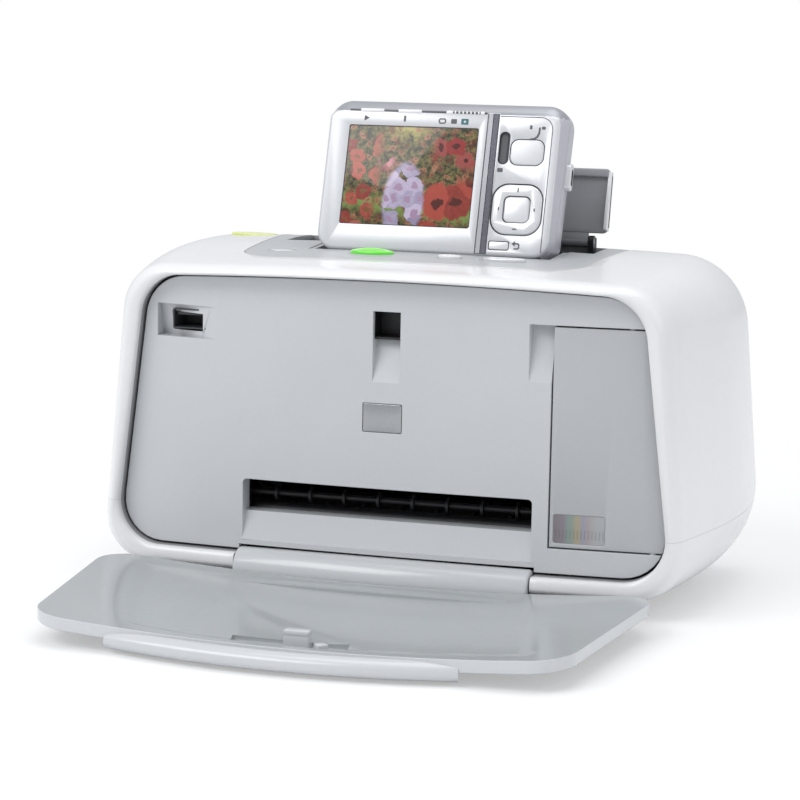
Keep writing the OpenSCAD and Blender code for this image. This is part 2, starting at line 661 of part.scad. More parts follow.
// Paper bed under the inlet, with its side walls and the curved turn to the feed roller
chute_end = 40;
function bed_y(z) = chute_y - (lid_z - z) * tan(lean);
lift_z = 92;                            // hinge line of the lift plate
lift_y = bed_y(lift_z) - 1;
lid_floor = lid_z - lid_rim - 0.9;      // top of the flange under the shut lid
module input_chute() color(black) placed() difference() {
  union() {
    // Flange round the inlet, and the ears of the lid's hinge
    difference() {
        box(-lid_half - 1.6, lid_half + 1.6, lid_y - lid_h - 1.6, lid_y + 4, lid_floor - 1.6, lid_floor);
        box(-inlet_half + 1.6, inlet_half - 1.6, inlet_y0, bed_y(lid_floor) + 0.6, 90, 140);
    }
    for (s = [-1, 1]) for (e = [-1, 1]) translate([s * knuckle_x + e * 9.3, 0, 0]) {
        box(-1, 1, lid_y - 2.2, lid_y + 2.2, lid_floor - 1, lid_z);
        rod_x(2.2, -1, 1, lid_y, lid_z);
    }
    difference() {
        translate([-inlet_half, 0, 0]) rotate([90, 0, 90]) linear_extrude(2 * inlet_half) polygon([
            [bed_y(lid_z - 5) + 0.4, lid_z - 5], [bed_y(chute_end) + 0.4, chute_end],
            [bed_y(chute_end) - 6, 27], [feed_y + feed_r + 1, 24], [feed_y + feed_r + 1, floor_z + seat],
            [bed_y(chute_end) + 1, floor_z + seat], [bed_y(chute_end) + 3.4, chute_end],
            [bed_y(lid_z - 5) + 3.4, lid_z - 5]]);
        box(-46, 46, feed_y + feed_r + 4, 75, 0, 22);
    }
    for (s = [-1, 1]) translate([s * (inlet_half - 0.8), 0, 0]) rotate([90, 0, 90])
        translate([0, 0, -0.8]) linear_extrude(1.6) polygon([
            [bed_y(lid_z - 6) + 1, lid_z - 6], [bed_y(70) + 1, 70],
            [bed_y(70) - 5, 70], [inlet_y0 + 2, lid_z - 6]]);
  }
  rod_x(1.2, -60, 60, lid_y, lid_z);
  translate([0, lift_y, lift_z]) rod_x(0.85, -60, 60, 0, 0);
}

module lift_plate() color(steel) placed() translate([0, lift_y, lift_z]) rotate([-lean, 0, 0])
    difference() {
        union() {
            box(-50, 50, -0.6, 0.6, -46, 1);
            for (s = [-1, 1]) rod_x(0.8, s * 52 - 4, s * 52 + 4, 0, 0);
        }
        box(-20, 20, -3, 3, -40, -12);
    }

// ---------- sockets ----------

// A metal shell with its tongue, opening towards -Y at y = 0
module socket_shell(w, h, d) {
    difference() {
        box(-w / 2 - 0.5, w / 2 + 0.5, 0, d, -0.5, h + 0.5);
        box(-w / 2, w / 2, -1, d - 1, 0, h);
    }
}
module usb_host_port() color(steel) placed() translate([usb_x + usb_w / 2, face_y + bow * pow(usb_x, 2) + 0.4, usb_z]) {
    socket_shell(usb_w, usb_h, 14);
    box(-usb_w / 2 + 0.8, usb_w / 2 - 0.8, 1.6, 13.4, usb_h - 1.9, usb_h - 0.5);
}
module usb_rear_port() color(steel) placed() translate([rear_usb_x, body_d - 0.4, port_z - 4]) mirror([0, 1, 0]) {
    difference() {
        union() {
            socket_shell(9, 8.4, 9.9);
            box(-7.2, 7.2, 2.6, 4, -2.4, 10.4);
        }
        box(-4.5, 4.5, -1, 8, 0, 8.4);
    }
    box(-2.8, 2.8, 1.4, 8.4, 2.8, 5.6);
}
module power_inlet() color(black) placed() translate([inlet_x, body_d - 0.4, port_z - 3.4]) mirror([0, 1, 0]) {
    difference() {
        box(-7.8, 7.8, 0, 10, -2.2, 9);
        box(-6, 6, -1, 8.4, 0, 6.8);
    }
    for (x = [-3.4, 0, 3.4]) rod_y(0.6, 2, 9, x, 5.6);
}

// ---------- mechanism ----------

// Involute gear about X, from x to x + w; phase turns one tooth to that angle from +Y
function gear_flank(rb, r) = let (t = sqrt(max(0, r * r / rb / rb - 1)) * 180 / PI) t - atan(t * PI / 180);
module gear(n, phase, bore) {
    rp = gear_m * n / 2;
    rb = rp * cos(20);
    ra = rp + gear_m * 0.92;
    rr = rp - gear_m * 1.2;
    lash = 0.06;
    half = 90 / n - lash / rp * 180 / PI + gear_flank(rb, rp);
    rs = [max(rb, rr), (rb + rp) / 2, rp, (rp + ra) / 2, ra];
    rotate([90, 0, 90]) linear_extrude(gear_w) difference() {
        polygon([for (k = [0:n - 1]) let (c = phase + 360 * k / n) each concat(
            [[rr * cos(c - half), rr * sin(c - half)]],
            [for (r = rs) let (a = c - half + gear_flank(rb, max(r, rb))) [r * cos(a), r * sin(a)]],
            [for (i = [4:-1:0]) let (r = rs[i], a = c + half - gear_flank(rb, max(r, rb))) [r * cos(a), r * sin(a)]],
            [[rr * cos(c + half), rr * sin(c + half)]])]);
        circle(r = bore);
    }
}

plate_y1 = 92;
plate_top = 80;
rail_low = 46;                          // lower edge of the rail wall
foot_x = chassis_half - 6;
plate_z = floor_z + 3;                  // lower edge of the side plates
module chassis() color(steel) placed() difference() {
    union() {
        for (s = [-1, 1]) translate([s * (chassis_half - plate_t / 2) - plate_t / 2, 0, 0])
            rotate([90, 0, 90]) linear_extrude(plate_t) polygon([
                [out_y - 5, plate_z], [plate_y1 - 12, plate_z], [plate_y1, floor_z + 12],
                [plate_y1, plate_top], [rod_y + 6, plate_top], [rod_y - 8, rail_low], [out_y - 5, rail_low - 4]]);
        box(-chassis_half, chassis_half, rail_y, rail_y + plate_t, rail_low, plate_top);
        // Feet
        for (s = [-1, 1]) {
            translate([s * foot_x, 0, 0]) box(-5.5, 5.5, rod_y - 8, rod_y, plate_z, plate_z + plate_t);
            translate([s * (foot_x - 5), 0, 0]) box(-0.8, 0.8, rod_y - 8, rod_y, floor_z + seat, plate_z + plate_t);
        }
    }
    for (b = [[out_y, out_z, shaft_r], [feed_y, roll_z, shaft_r], [rod_y, rod_z, rod_r - run_gap],
        [pick_y, pick_z, shaft_r], [feed_y, pinch_z, 1.5], [out_y, star_z, 1.2],
        [pinion_y, pinion_z, 3.4], [idler_y, idler_z, 1.8]])
        rod_x(b[2] + run_gap, -big, big, b[0], b[1]);
    for (x = [-pulley_x, pulley_x]) rod_y(2.05, 60, 90, x, belt_z);
    box(-inlet_half - 1, inlet_half + 1, rail_y - 1, rail_y + 9, 66, 90);
    box(-inlet_half - 1, inlet_half + 1, rail_y - 1, rail_y + 9, 40, 54);
}

module guide_rod() color(silver) placed() rod_x(rod_r - run_gap, -chassis_half, chassis_half, rod_y, rod_z);

car_half = ink_w / 2 + 1.8;
tower_z = ink_z + ink_h - 2.2;          // top of the carriage's back tower
latch_y = rod_y + 1;
latch_z = ink_z + ink_h + 1.3;          // the latch's hinge line
latch_w = 9.6;
module carriage() color(black) placed() translate([home_x, 0, 0]) difference() {
    union() {
        box(-car_half, car_half, ink_y - 0.4, rod_y - 7.6, ink_z - 2.2, ink_z + 22);
        box(-car_half, car_half, rod_y - 9, rod_y + 6, rod_z - 6, tower_z);
        box(-5, 5, rod_y + 5, belt_y + belt_w + 1.4, belt_z - pulley_r - 2.6, belt_z - pulley_r + 2.4);
        for (s = [-1, 1]) translate([s * (latch_w + 1.3), 0, 0])
            box(-1, 1, latch_y - 2.4, latch_y + 2.4, tower_z - 1, latch_z + 2.2);
    }
    box(-ink_w / 2 - fit, ink_w / 2 + fit, ink_y - 9, ink_y + ink_d + fit, ink_z - seat, 140);
    box(-12, 12, ink_y + 6.6, ink_y + 22.4, 20, ink_z + 1);
    rod_x(rod_r, -30, 30, rod_y, rod_z);
    rod_x(1 + run_gap, -30, 30, latch_y, latch_z);
    box(-30, 30, belt_y - 0.4, belt_y + belt_w + 0.4, belt_z - pulley_r - 1.3, belt_z - pulley_r + 0.8);
}

module ink_cartridge() color([0.2, 0.2, 0.22]) placed() translate([home_x, 0, 0]) difference() {
    union() {
        box(-ink_w / 2, ink_w / 2, ink_y, ink_y + ink_d, ink_z, ink_z + ink_h);
        box(-11.5, 11.5, ink_y + 7, ink_y + 22, paper_z + 1.6, ink_z + 1);
    }
    box(-ink_w / 2 + 4, ink_w / 2 - 4, ink_y + 2, ink_y + ink_d - 2, ink_z + ink_h - 0.8, ink_z + ink_h + 1);
    box(-ink_w / 2 + 3, ink_w / 2 - 3, ink_y - 1, ink_y + 0.8, ink_z + 26, ink_z + 34);
}

module cartridge_latch() color(tray_grey) placed() translate([home_x, 0, 0]) {
    box(-latch_w, latch_w, ink_y + 1, latch_y + 1.2, latch_z - 1, latch_z + 0.9);
    box(-latch_w, latch_w, ink_y + 1, ink_y + 2.6, latch_z - 1, latch_z + 2.6);
    rod_x(1.8, -latch_w, latch_w, latch_y, latch_z);
    rod_x(1, -latch_w - 2.3, latch_w + 2.3, latch_y, latch_z);
}

module belt_loop(g) hull() for (s = [-1, 1]) rod_y(pulley_r + g, belt_y, belt_y + belt_w, s * pulley_x, belt_z);
module drive_belt() color(black) placed() difference() {
    belt_loop(0.9);
    for (s = [-1, 1]) rod_y(pulley_r + 0.2, belt_y - 1, belt_y + belt_w + 1, s * pulley_x, belt_z);
    box(-pulley_x, pulley_x, belt_y - 1, belt_y + belt_w + 1, belt_z - pulley_r - 0.2, belt_z + pulley_r + 0.2);
}

module pulley(len) {
    rod_y(pulley_r, belt_y, belt_y + belt_w, 0, 0);
    rod_y(pulley_r + 1.6, belt_y - 0.8, belt_y - 0.2, 0, 0);
    rod_y(2, belt_y - 0.8, belt_y + len, 0, 0);
}
module motor_pulley() color(steel) placed() translate([pulley_x, 0, belt_z]) pulley(9.6);
module idler_pulley() color(shell_white) placed() translate([-pulley_x, 0, belt_z]) pulley(7.4);
module carriage_motor() color(steel) placed() translate([pulley_x, 0, belt_z]) difference() {
    rod_y(8.2, rail_y + plate_t + seat, rail_y + 20, 0, 0);
    rod_y(2.05, 60, rail_y + 4, 0, 0);
}
module encoder_strip() color(silver) placed() {
    box(-chassis_half + plate_t, chassis_half - plate_t, belt_y - 1.9, belt_y - 1.6, 68.6, 74);
}

module feed_roller() color(black) placed() {
    rod_x(feed_r, -53, 53, feed_y, roll_z);
    rod_x(shaft_r, gear_x, chassis_half, feed_y, roll_z);
    translate([gear_x, feed_y, roll_z]) gear(feed_teeth, 0, shaft_r - 0.4);
}
// Phase of a gear of nb teeth in mesh with one of na teeth and phase pa, at angle b from it
function mesh_phase(b, na, pa, nb) = b + 180 + 180 / nb + (b - pa) * na / nb;
idler_phase = mesh_phase(180 - train_tilt, feed_teeth, 0, idler_teeth);
module idler_gear() color(shell_white) placed() {
    translate([gear_x, idler_y, idler_z]) gear(idler_teeth, idler_phase, 1.5);
    rod_x(1.8, gear_x, -chassis_half + plate_t, idler_y, idler_z);
}
module output_roller() color(black) placed() {
    rod_x(out_r, -53, 53, out_y, out_z);
    rod_x(shaft_r, gear_x, chassis_half, out_y, out_z);
    translate([gear_x, out_y, out_z])
        gear(out_teeth, mesh_phase(180 - train_tilt, idler_teeth, idler_phase, out_teeth), 1);
}
module pick_roller() color(black) placed() {
    difference() {
        rod_x(pick_r, -14, 14, pick_y, pick_z);
        box(-15, 15, pick_y + pick_r - 2, pick_y + pick_r + 1, pick_z - 9, pick_z + 9);
    }
    rod_x(shaft_r, gear_x, chassis_half, pick_y, pick_z);
    translate([gear_x, pick_y, pick_z])
        gear(pick_teeth, mesh_phase(pick_angle, feed_teeth, 0, pick_teeth), shaft_r - 0.4);
}
module motor_pinion() color(steel) placed() {
    translate([gear_x, pinion_y, pinion_z])
        gear(pinion_teeth, mesh_phase(pinion_angle, feed_teeth, 0, pinion_teeth), 1);
    rod_x(1.4, gear_x, -chassis_half + plate_t + 3, pinion_y, pinion_z);
}
module paper_motor() color(steel) placed() difference() {
    rod_x(9, -chassis_half + plate_t, -chassis_half + 28, pinion_y, pinion_z);
    rod_x(1.45, -chassis_half, -chassis_half + 6, pinion_y, pinion_z);
}

module pinch_rollers() color(tray_grey) placed() {
    for (x = [-39, -13, 13, 39]) rod_x(pinch_r, x - 6, x + 6, feed_y, pinch_z);
    rod_x(1.5, -chassis_half, chassis_half, feed_y, pinch_z);
}
module star_wheels() color(steel) placed() {
    for (i = [0:7]) rod_x(star_r, -46 + i * 92 / 7, -45 + i * 92 / 7, out_y, star_z);
    rod_x(1.2, -chassis_half, chassis_half, out_y, star_z);
}

platen_half = home_x - 20;
rib_pitch = (platen_half - 4) / 4;
module platen() color(black) placed() {
    box(-platen_half, platen_half, out_y + out_r + 0.4, feed_y - feed_r - 0.4, paper_z - 2.6, paper_z - 0.8);
    for (i = [-4:4]) translate([i * rib_pitch, 0, 0])
        box(0, 1, out_y + out_r + 0.4, feed_y - feed_r - 0.4, paper_z - 1, paper_z);
    for (x = [-platen_half, -20, 18, platen_half - 2])
        box(x, x + 2, out_y + out_r + 1, feed_y - feed_r - 1, floor_z + seat, paper_z - 2);
}

module service_station() color(tray_grey) placed() translate([home_x, 0, 0]) {
    box(-15, 15, ink_y + 3, ink_y + 24.4, floor_z + seat, 27);
    box(-11, 11, ink_y + 7.4, ink_y + 21.6, 27, paper_z + 1.3);
}

board_y = body_d - 12;
board_half = 72;
board_z0 = floor_z + 7.2;
board_z1 = ring_top_z - 29.6;
module main_board() color([0.1, 0.4, 0.2]) placed() {
    box(-board_half, board_half, board_y, board_y + 1.6, board_z0, board_z1);
    box(-20, 8, board_y - 2.4, board_y, 48, 66);
    box(-48, -30, board_y - 5, board_y, 70, 82);
    for (x = [24, 38, 52]) rod_y(4.6, board_y - 11, board_y, x, 60);
    for (x = [1 - board_half, board_half - 5]) box(x, x + 4, board_y - 4, board_y + 1.6, floor_z + 2, board_z0 + 1);
}

// ---------- docked camera, modelled upright about its lower screen edge ----------

module cam_block(y0, y1, g) translate([0, y1, cam_h / 2]) rotate([90, 0, 0]) linear_extrude(y1 - y0)
    polygon(rounded(cam_w - 2 * g, cam_h - 2 * g, cam_r - g));
module key_hole(x, z, w, h, r, d) translate([x, d, z]) rotate([90, 0, 0]) linear_extrude(d + 1) polygon(rounded(w, h, r));
key_depth = 2.6;
top_keys = [[-29, 10], [-14, 10]];      // middle and width of the power and shutter buttons
switch_x = 8;
switch_w = 11;
switch_travel = 3;
eye_y = 8;                              // strap eyelet on the camera's right side
eye_d = 4.4;
eye_z = 30;
eye_h = 9;
zoom_at = [cam_w / 2 - 11.8, 39.4];
zoom_w = 12.6;
zoom_h = 9.6;

module camera_back_shell() color(silver) placed() dock_frame() difference() {
    union() {
        cam_block(1, cam_edge, 0);
        cam_block(0, 1.2, 1);
    }
    cam_block(3.2, cam_edge + 1, 1.8);
    box(screen_x, screen_x + screen_w, -1, 4, screen_z, screen_z + screen_h);
    key_hole(pad_x, pad_z, pad_w + 2 * key_fit, pad_w + 2 * key_fit, 6, 4);
    key_hole(review_x, 3.9, review_w + 2 * key_fit, 3 + 2 * key_fit, 0.8, 4);
    key_hole(zoom_at[0], zoom_at[1], zoom_w + 0.4 + 2 * key_fit, zoom_h + 0.4 + 2 * key_fit, 3, 4);
    box(strip_x - strip_w / 2 - 0.1, strip_x + strip_w / 2 + 0.1, -1, 0.8, 2, cam_h - 2);
}
module camera_front_shell() color([0.68, 0.69, 0.71]) placed() dock_frame() difference() {
    union() {
        cam_block(cam_edge, cam_t - 3, 0);
        cam_block(cam_t - 3.2, cam_t - 1.2, 0.8);
        cam_block(cam_t - 1.4, cam_t, 2.2);
    }
    cam_block(cam_edge - 1, cam_t - 2, 1.8);
    for (k = top_keys) box(k[0] - k[1] / 2 - key_fit, k[0] + k[1] / 2 + key_fit, 9, 13.4, cam_h - 4, cam_h + 1);
    box(switch_x - switch_w / 2 - key_fit, switch_x + switch_w / 2 + switch_travel + key_fit, 9, 13, cam_h - 4, cam_h + 1);
    rod_y(12.4, cam_t - 5, cam_t + 1, -18, 31);
    box(-plug_half - 1, plug_half + 1, 7.2, 13.8, -1, 3);
    box(cam_w / 2 - 3, cam_w / 2 + 1, eye_y - 0.1, eye_y + eye_d + 0.1, eye_z - 0.1, eye_z + eye_h + 0.1);
}
module camera_screen() color([0.2, 0.22, 0.25]) placed() dock_frame()
    box(screen_x + 0.1, screen_x + screen_w - 0.1, 0.5, 2.8, screen_z + 0.1, screen_z + screen_h - 0.1);
module trim_strip() color(steel) placed() dock_frame()
    box(strip_x - strip_w / 2, strip_x + strip_w / 2, 0.15, 0.8, 2.2, cam_h - 2.2);
module camera_lens() color([0.3, 0.3, 0.32]) placed() dock_frame() difference() {
    rod_y(12.2, cam_t - 4.6, cam_t + 0.4, -18, 31);
    rod_y(7, cam_t - 0.8, cam_t + 1, -18, 31);
}
module cam_key(x, z, w, h, r) translate([x, key_depth, z]) rotate([90, 0, 0]) linear_extrude(key_depth + 0.5) polygon(rounded(w, h, r));
module four_way_pad() color(silver) placed() dock_frame() difference() {
    cam_key(pad_x, pad_z, pad_w, pad_w, 6);
    key_hole(pad_x, pad_z, ok_w + 2 * key_fit, ok_w + 2 * key_fit, 2, 5);
}
module ok_button() color(silver) placed() dock_frame() cam_key(pad_x, pad_z, ok_w, ok_w, 2);
module review_button() color(silver) placed() dock_frame() cam_key(review_x, 3.9, review_w, 3, 0.8);
module zoom_rocker() color(silver) placed() dock_frame() translate([0, 0.3, 0])
    cam_key(zoom_at[0], zoom_at[1], zoom_w, zoom_h, 3);
module top_key(k) box(top_keys[k][0] - top_keys[k][1] / 2, top_keys[k][0] + top_keys[k][1] / 2, 9.25, 13.15,
    cam_h - 2.6, cam_h + 0.8);
module camera_power_button() color(silver) placed() dock_frame() top_key(0);
module shutter_button() color(silver) placed() dock_frame() top_key(1);
module mode_switch() color(silver) placed() dock_frame() {
    box(switch_x - switch_w / 2, switch_x + switch_w / 2, 9.3, 12.7, cam_h - 2.6, cam_h + 0.3);
    for (i = [0:6]) box(switch_x - 4 + i * 1.2, switch_x - 3.5 + i * 1.2, 9.3, 12.7, cam_h, cam_h + 0.8);
}
module strap_eyelet() color(steel) placed() dock_frame() difference() {
    translate([cam_w / 2 - 2.6, eye_y, eye_z]) cube([4, eye_d, eye_h]);
    translate([cam_w / 2 + 0.2, eye_y + 1.4, eye_z - 1]) cube([0.8, eye_d, eye_h + 2]);
}

base_shell();
top_shell();
front_panel();
cartridge_door();
output_tray();
tray_hook();
tray_hinge_pins();
hinge_brackets();
badge_plate();
ink_label();
dock_deck();
dock_cradle();
power_button();
print_button();
light_window();
deck_button();
paper_lid();
lid_hinge_pins();
paper_guide();
input_chute();
lift_plate();
feet();
case_screws();
usb_host_port();
usb_rear_port();
power_inlet();
chassis();
guide_rod();
carriage();
ink_cartridge();
cartridge_latch();
drive_belt();
carriage_motor();
motor_pulley();
idler_pulley();
encoder_strip();
feed_roller();
pinch_rollers();
output_roller();
star_wheels();
idler_gear();
pick_roller();
paper_motor();
motor_pinion();
platen();
service_station();
main_board();
camera_front_shell();
camera_back_shell();
camera_screen();
camera_lens();
zoom_rocker();
four_way_pad();
ok_button();
review_button();
shutter_button();
camera_power_button();
mode_switch();
trim_strip();
strap_eyelet();
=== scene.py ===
"""Looks of the compact photo printer: shells, tray, deck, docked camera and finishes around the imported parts."""
import math

import bmesh
import bpy
import numpy as np
from mathutils import Matrix, Vector


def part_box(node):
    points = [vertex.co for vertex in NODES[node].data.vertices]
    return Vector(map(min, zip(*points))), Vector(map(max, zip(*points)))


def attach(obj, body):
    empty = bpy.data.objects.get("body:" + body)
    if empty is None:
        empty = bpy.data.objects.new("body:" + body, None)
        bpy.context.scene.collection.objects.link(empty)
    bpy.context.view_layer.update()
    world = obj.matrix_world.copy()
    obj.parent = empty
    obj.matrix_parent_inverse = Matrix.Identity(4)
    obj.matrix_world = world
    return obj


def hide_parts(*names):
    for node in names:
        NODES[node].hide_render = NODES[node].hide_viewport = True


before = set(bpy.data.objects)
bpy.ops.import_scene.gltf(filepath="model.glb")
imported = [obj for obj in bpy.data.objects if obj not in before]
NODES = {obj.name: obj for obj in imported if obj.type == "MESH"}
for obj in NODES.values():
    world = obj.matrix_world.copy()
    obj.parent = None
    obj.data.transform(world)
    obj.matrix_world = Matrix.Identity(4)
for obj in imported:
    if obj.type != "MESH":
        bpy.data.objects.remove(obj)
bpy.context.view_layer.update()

# ---------------------------------------------------------------- sizes, in millimetres, y from the front ring

RING_AT = round(1000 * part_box("feet")[0][1] - 20.0, 2)   # the front ring's foremost line in the shared frame
BODY_D = 115.0
BASE_Z, RING_TOP, CROWN = 7.4, 117.6, 3.0
RING_HALF, RING_TOP_HALF, RING_R = 110.0, 100.0, 16.5
BACK_R, BACK_IN, BACK_LIFT = 27.0, 7.0, 10.0
SIDE_SWELL, TOP_RISE, SWELL_Y = 12.7, 3.9, 79.35
NOSE_IN, NOSE_D = 2.6, 7.0
WALL, SEAM_Z = 2.4, 30.0
FACE_HALF, FACE_TOP_HALF, FACE_Z0, FACE_Z1, FACE_R = 105.4, 93.1, 14.1, 114.3, 15.8
FACE_Y, PANEL_T, BOW = 6.5, 2.4, 0.00043
OUTLET_HALF, OUTLET_Z0, OUTLET_Z1 = 54.7, 18.8, 41.2
LATCH_HALF, LATCH_Z0, LATCH_Z1 = 5.1, 96.4, 105.8
DOOR_X, DOOR_Z0, DOOR_Z1, DOOR_GAP = 60.6, 24.0, 104.0, 0.6
HINGE_Y, HINGE_Z = 6.5, 8.3
TRAY_T, TRAY_Z0, TONGUE_HALF = 4.5, 16.3, 55.5
DECK_HALF, DECK_Y0, DECK_Y1, DECK_R, DECK_T = 66.0, 24.0, 107.0, 17.0, 2.6
LID_HALF, LID_Y, LID_H, LID_RIM, LEAN = 59.6, 99.6, 27.6, 5.4, 14.0
CAM_X, CAM_Y, CAM_Z, CAM_TILT = 4.0, 46.5, 123.6, 18.0
CAM_W, CAM_H, CAM_T, CAM_R = 89.6, 58.6, 20.0, 7.0
STRIP_X = CAM_W / 2 - 25.8
BAR_HALF, BAR_R = 55.5, 7.7      # the tray's hinge bar, about the hinge line

# Middles: on the face and the deck, and on the upright camera
BADGE_AT, LABEL_AT = (-1.2, 67.2), (DOOR_X + 11.2, 31.4)
WINDOW_AT, BUTTON_AT, PRINT_AT, POWER_AT, SPARE_AT = (-16.3, 40), (14, 38), (34.6, 38), (-81, 91), (-52, 42)
LENS_AT, EYELET_AT, SHUTTER_X, CAM_POWER_X, SWITCH_X, REVIEW_Z = (-18, 31), (10.4, 33.0), -29, -14, 8, 3.9
REAR_SOCKETS = ((-41, -27), (-66, -50))      # in X, the square one and the power inlet

# Where the photo was taken from: pixels of an 800-pixel picture, degrees, and metres from the front ring
PHOTO_PX, FOCAL_PX, CENTRE_PX = 800, 2651.0, (358.9, 417.8)
AZ_EL_ROLL, EYE = (17.5, 9.26, 0.91), (0.27403, -0.89399, 0.22081)


# ---------------------------------------------------------------- node trees

class Wire:
    """One socket of a node tree. Arithmetic on it adds the Math nodes."""

    def __init__(self, tree, socket=None):
        self.tree, self.socket = tree, socket

    def node(self, kind, settings=None, values=None, out=0):
        """Adds a node: settings first, then values or links of its sockets; gives the wire of one output."""
        made = self.tree.nodes.new(kind)
        for key, value in (settings or {}).items():
            if key == "stops":
                ramp = made.color_ramp
                while len(ramp.elements) < len(value):
                    ramp.elements.new(0.5)
                for stop, (place, colour) in zip(ramp.elements, value):
                    stop.position, stop.color = place, colour
            else:
                setattr(made, key, value)
        for key, value in (values or {}).items():
            target = made.inputs[key]
            if isinstance(value, Wire):
                self.tree.links.new(value.socket, target)
            else:
                target.default_value = value
        return Wire(self.tree, made.outputs[out] if len(made.outputs) else None)

    def maths(self, operation, *terms):
        return self.node("ShaderNodeMath", {"operation": operation}, dict(enumerate(terms)))

    def __add__(self, other):
        return self.maths("ADD", self, other)

    def __sub__(self, other):
        return self.maths("SUBTRACT", self, other)

    def __rsub__(self, other):
        return self.maths("SUBTRACT", other, self)

    def __mul__(self, other):
        return self.maths("MULTIPLY", self, other)

    def __truediv__(self, other):
        return self.maths("DIVIDE", self, other)

    def __neg__(self):
        return self.maths("MULTIPLY", self, -1.0)

    def __pow__(self, other):
        return self.maths("POWER", self, other)

    def __abs__(self):
        return self.maths("ABSOLUTE", self)

    def band(self, low, high):
        """0 below low, 1 above high, smooth between."""
        return self.node("ShaderNodeMapRange", {"interpolation_type": "SMOOTHSTEP"},
                         {"Value": self, "From Min": low, "From Max": high})

    def most(self, other):
        return self.maths("MAXIMUM", self, other)

    def root(self):
        return self.maths("SQRT", self)

    def beside(self, output):
        """The wire of another output of the same node."""
        return Wire(self.tree, self.socket.node.outputs[output])

    def noise(self, place, scale, detail, out=0, **more):
        return self.node("ShaderNodeTexNoise", {}, {"Vector": place, "Scale": scale, "Detail": detail, **more}, out)

    def bump(self, height, strength, distance):
        return self.node("ShaderNodeBump", {}, {"Height": height, "Strength": strength, "Distance": distance},
                         "Normal")

    def xyz(self, **parts):
        return self.node("ShaderNodeCombineXYZ", {}, parts)

    def tint(self, low, high):
        """Colour between two tones, by this wire."""
        return self.node("ShaderNodeMix", {"data_type": "RGBA"}, {0: self, 6: low, 7: high}, out=2)


def rgba(colour):
    """A linear colour from one that is given as seen on screen."""
    return tuple((c / 12.92 if c <= 0.04045 else ((c + 0.055) / 1.055) ** 2.4) for c in colour) + (1.0,)


def start_finish(name):
    material = bpy.data.materials.new(name)
    material.use_nodes = True
    material.node_tree.nodes.clear()
    return material, Wire(material.node_tree)


def end_finish(wire, values):
    surface = wire.node("ShaderNodeBsdfPrincipled", {}, values, out="BSDF")
    wire.node("ShaderNodeOutputMaterial", {}, {"Surface": surface})


def moulded(name, colour, rough=0.35, grain=900.0, depth=0.012, tone=0.05, coat=0.0, metal=0.0, spec=0.5,
            smudge=0.08):
    """Moulded plastic: fine grain in the surface, faint flow tone and handling marks in its gloss."""
    material, w = start_finish(name)
    place = w.node("ShaderNodeTexCoord", out="Object")
    flow = w.noise(place, 16.0, 4.0, Roughness=0.55)
    speck = w.noise(place, grain * 0.6, 2.0)
    fine = w.noise(place, grain, 3.0, Roughness=0.6)
    marks = w.noise(place, 60.0, 5.0, Distortion=1.2)
    low = rgba([c * (1 - tone) for c in colour])
    high = rgba([min(1.0, c * (1 + tone * 0.4)) for c in colour])
    base = (flow * 0.7 + speck * 0.3).band(0.3, 0.7).tint(low, high)
    gloss = (marks - 0.5) * smudge + rough
    bump = w.bump(fine, 0.5, depth * 0.001)
    end_finish(w, {"Base Color": base, "Roughness": gloss, "Metallic": metal, "Normal": bump,
                   "Coat Weight": coat, "Coat Roughness": 0.08, "Specular IOR Level": spec})
    return material


def brushed(name, colour, rough=0.3, across=(1, 0.05, 1), metal=1.0, depth=0.004):
    """Drawn or brushed metal: long fine scratches and a slow change of tone."""
    material, w = start_finish(name)
    place = w.node("ShaderNodeTexCoord", out="Object")
    laid = w.node("ShaderNodeMapping", {}, {"Vector": place, "Scale": across})
    lines = w.noise(laid, 2600.0, 3.0, Roughness=0.7)
    cloud = w.noise(place, 40.0, 3.0)
    base = (cloud * 0.6 + lines * 0.4).band(0.25, 0.75).tint(rgba([c * 0.9 for c in colour]), rgba(colour))
    gloss = (lines - 0.5) * 0.18 + rough
    bump = w.bump(lines, 0.4, depth * 0.001)
    end_finish(w, {"Base Color": base, "Roughness": gloss, "Metallic": metal, "Normal": bump})
    return material


# ---------------------------------------------------------------- shapes

def new_object(name, mesh):
    made = bpy.data.objects.new(name, mesh)
    bpy.context.scene.collection.objects.link(made)
    return made


def shape(name, points, faces):
    """A piece in millimetres, from points and faces."""
    mesh = bpy.data.meshes.new(name)
    mesh.from_pydata([tuple(map(float, p)) for p in points], [], [tuple(f) for f in faces])
    mesh.update()
    return new_object(name, mesh)


def edit(piece, work):
    """Runs work on the piece's mesh as a bmesh."""
    bm = bmesh.new()
    bm.from_mesh(piece.data)
    work(bm)
    bm.to_mesh(piece.data)
    bm.free()
    piece.data.update()
    return piece


def outward(piece):
    """Turns all of the piece's faces outward."""
    return edit(piece, lambda bm: bmesh.ops.recalc_face_normals(bm, faces=bm.faces))


def loft(name, rings, closed=False):
    """A closed skin through rings of equally many points; flat caps, unless the rings themselves close."""
    n, count = len(rings[0]), len(rings)
    points = np.concatenate(rings)
    faces = []
    for i in range(count if closed else count - 1):
        a, b = i * n, ((i + 1) % count) * n
        faces += [(a + j, a + (j + 1) % n, b + (j + 1) % n, b + j) for j in range(n)]
    if not closed:
        faces += [tuple(range(n - 1, -1, -1)), tuple(range((count - 1) * n, count * n))]
    return outward(shape(name, points, faces))


def block(x0, x1, y0, y1, z0, z1):
    ring = [[(x0, y, z0), (x1, y, z0), (x1, y, z1), (x0, y, z1)] for y in (y0, y1)]
    return loft("block", [np.array(r, float) for r in ring])


def turned_to(points, y):
    """Outline points in X and Z, set at depth y."""
    return np.array([(p[0], y, p[1]) for p in points], float)


def prism(points, y0, y1):
    return loft("prism", [turned_to(points, y0), turned_to(points, y1)])


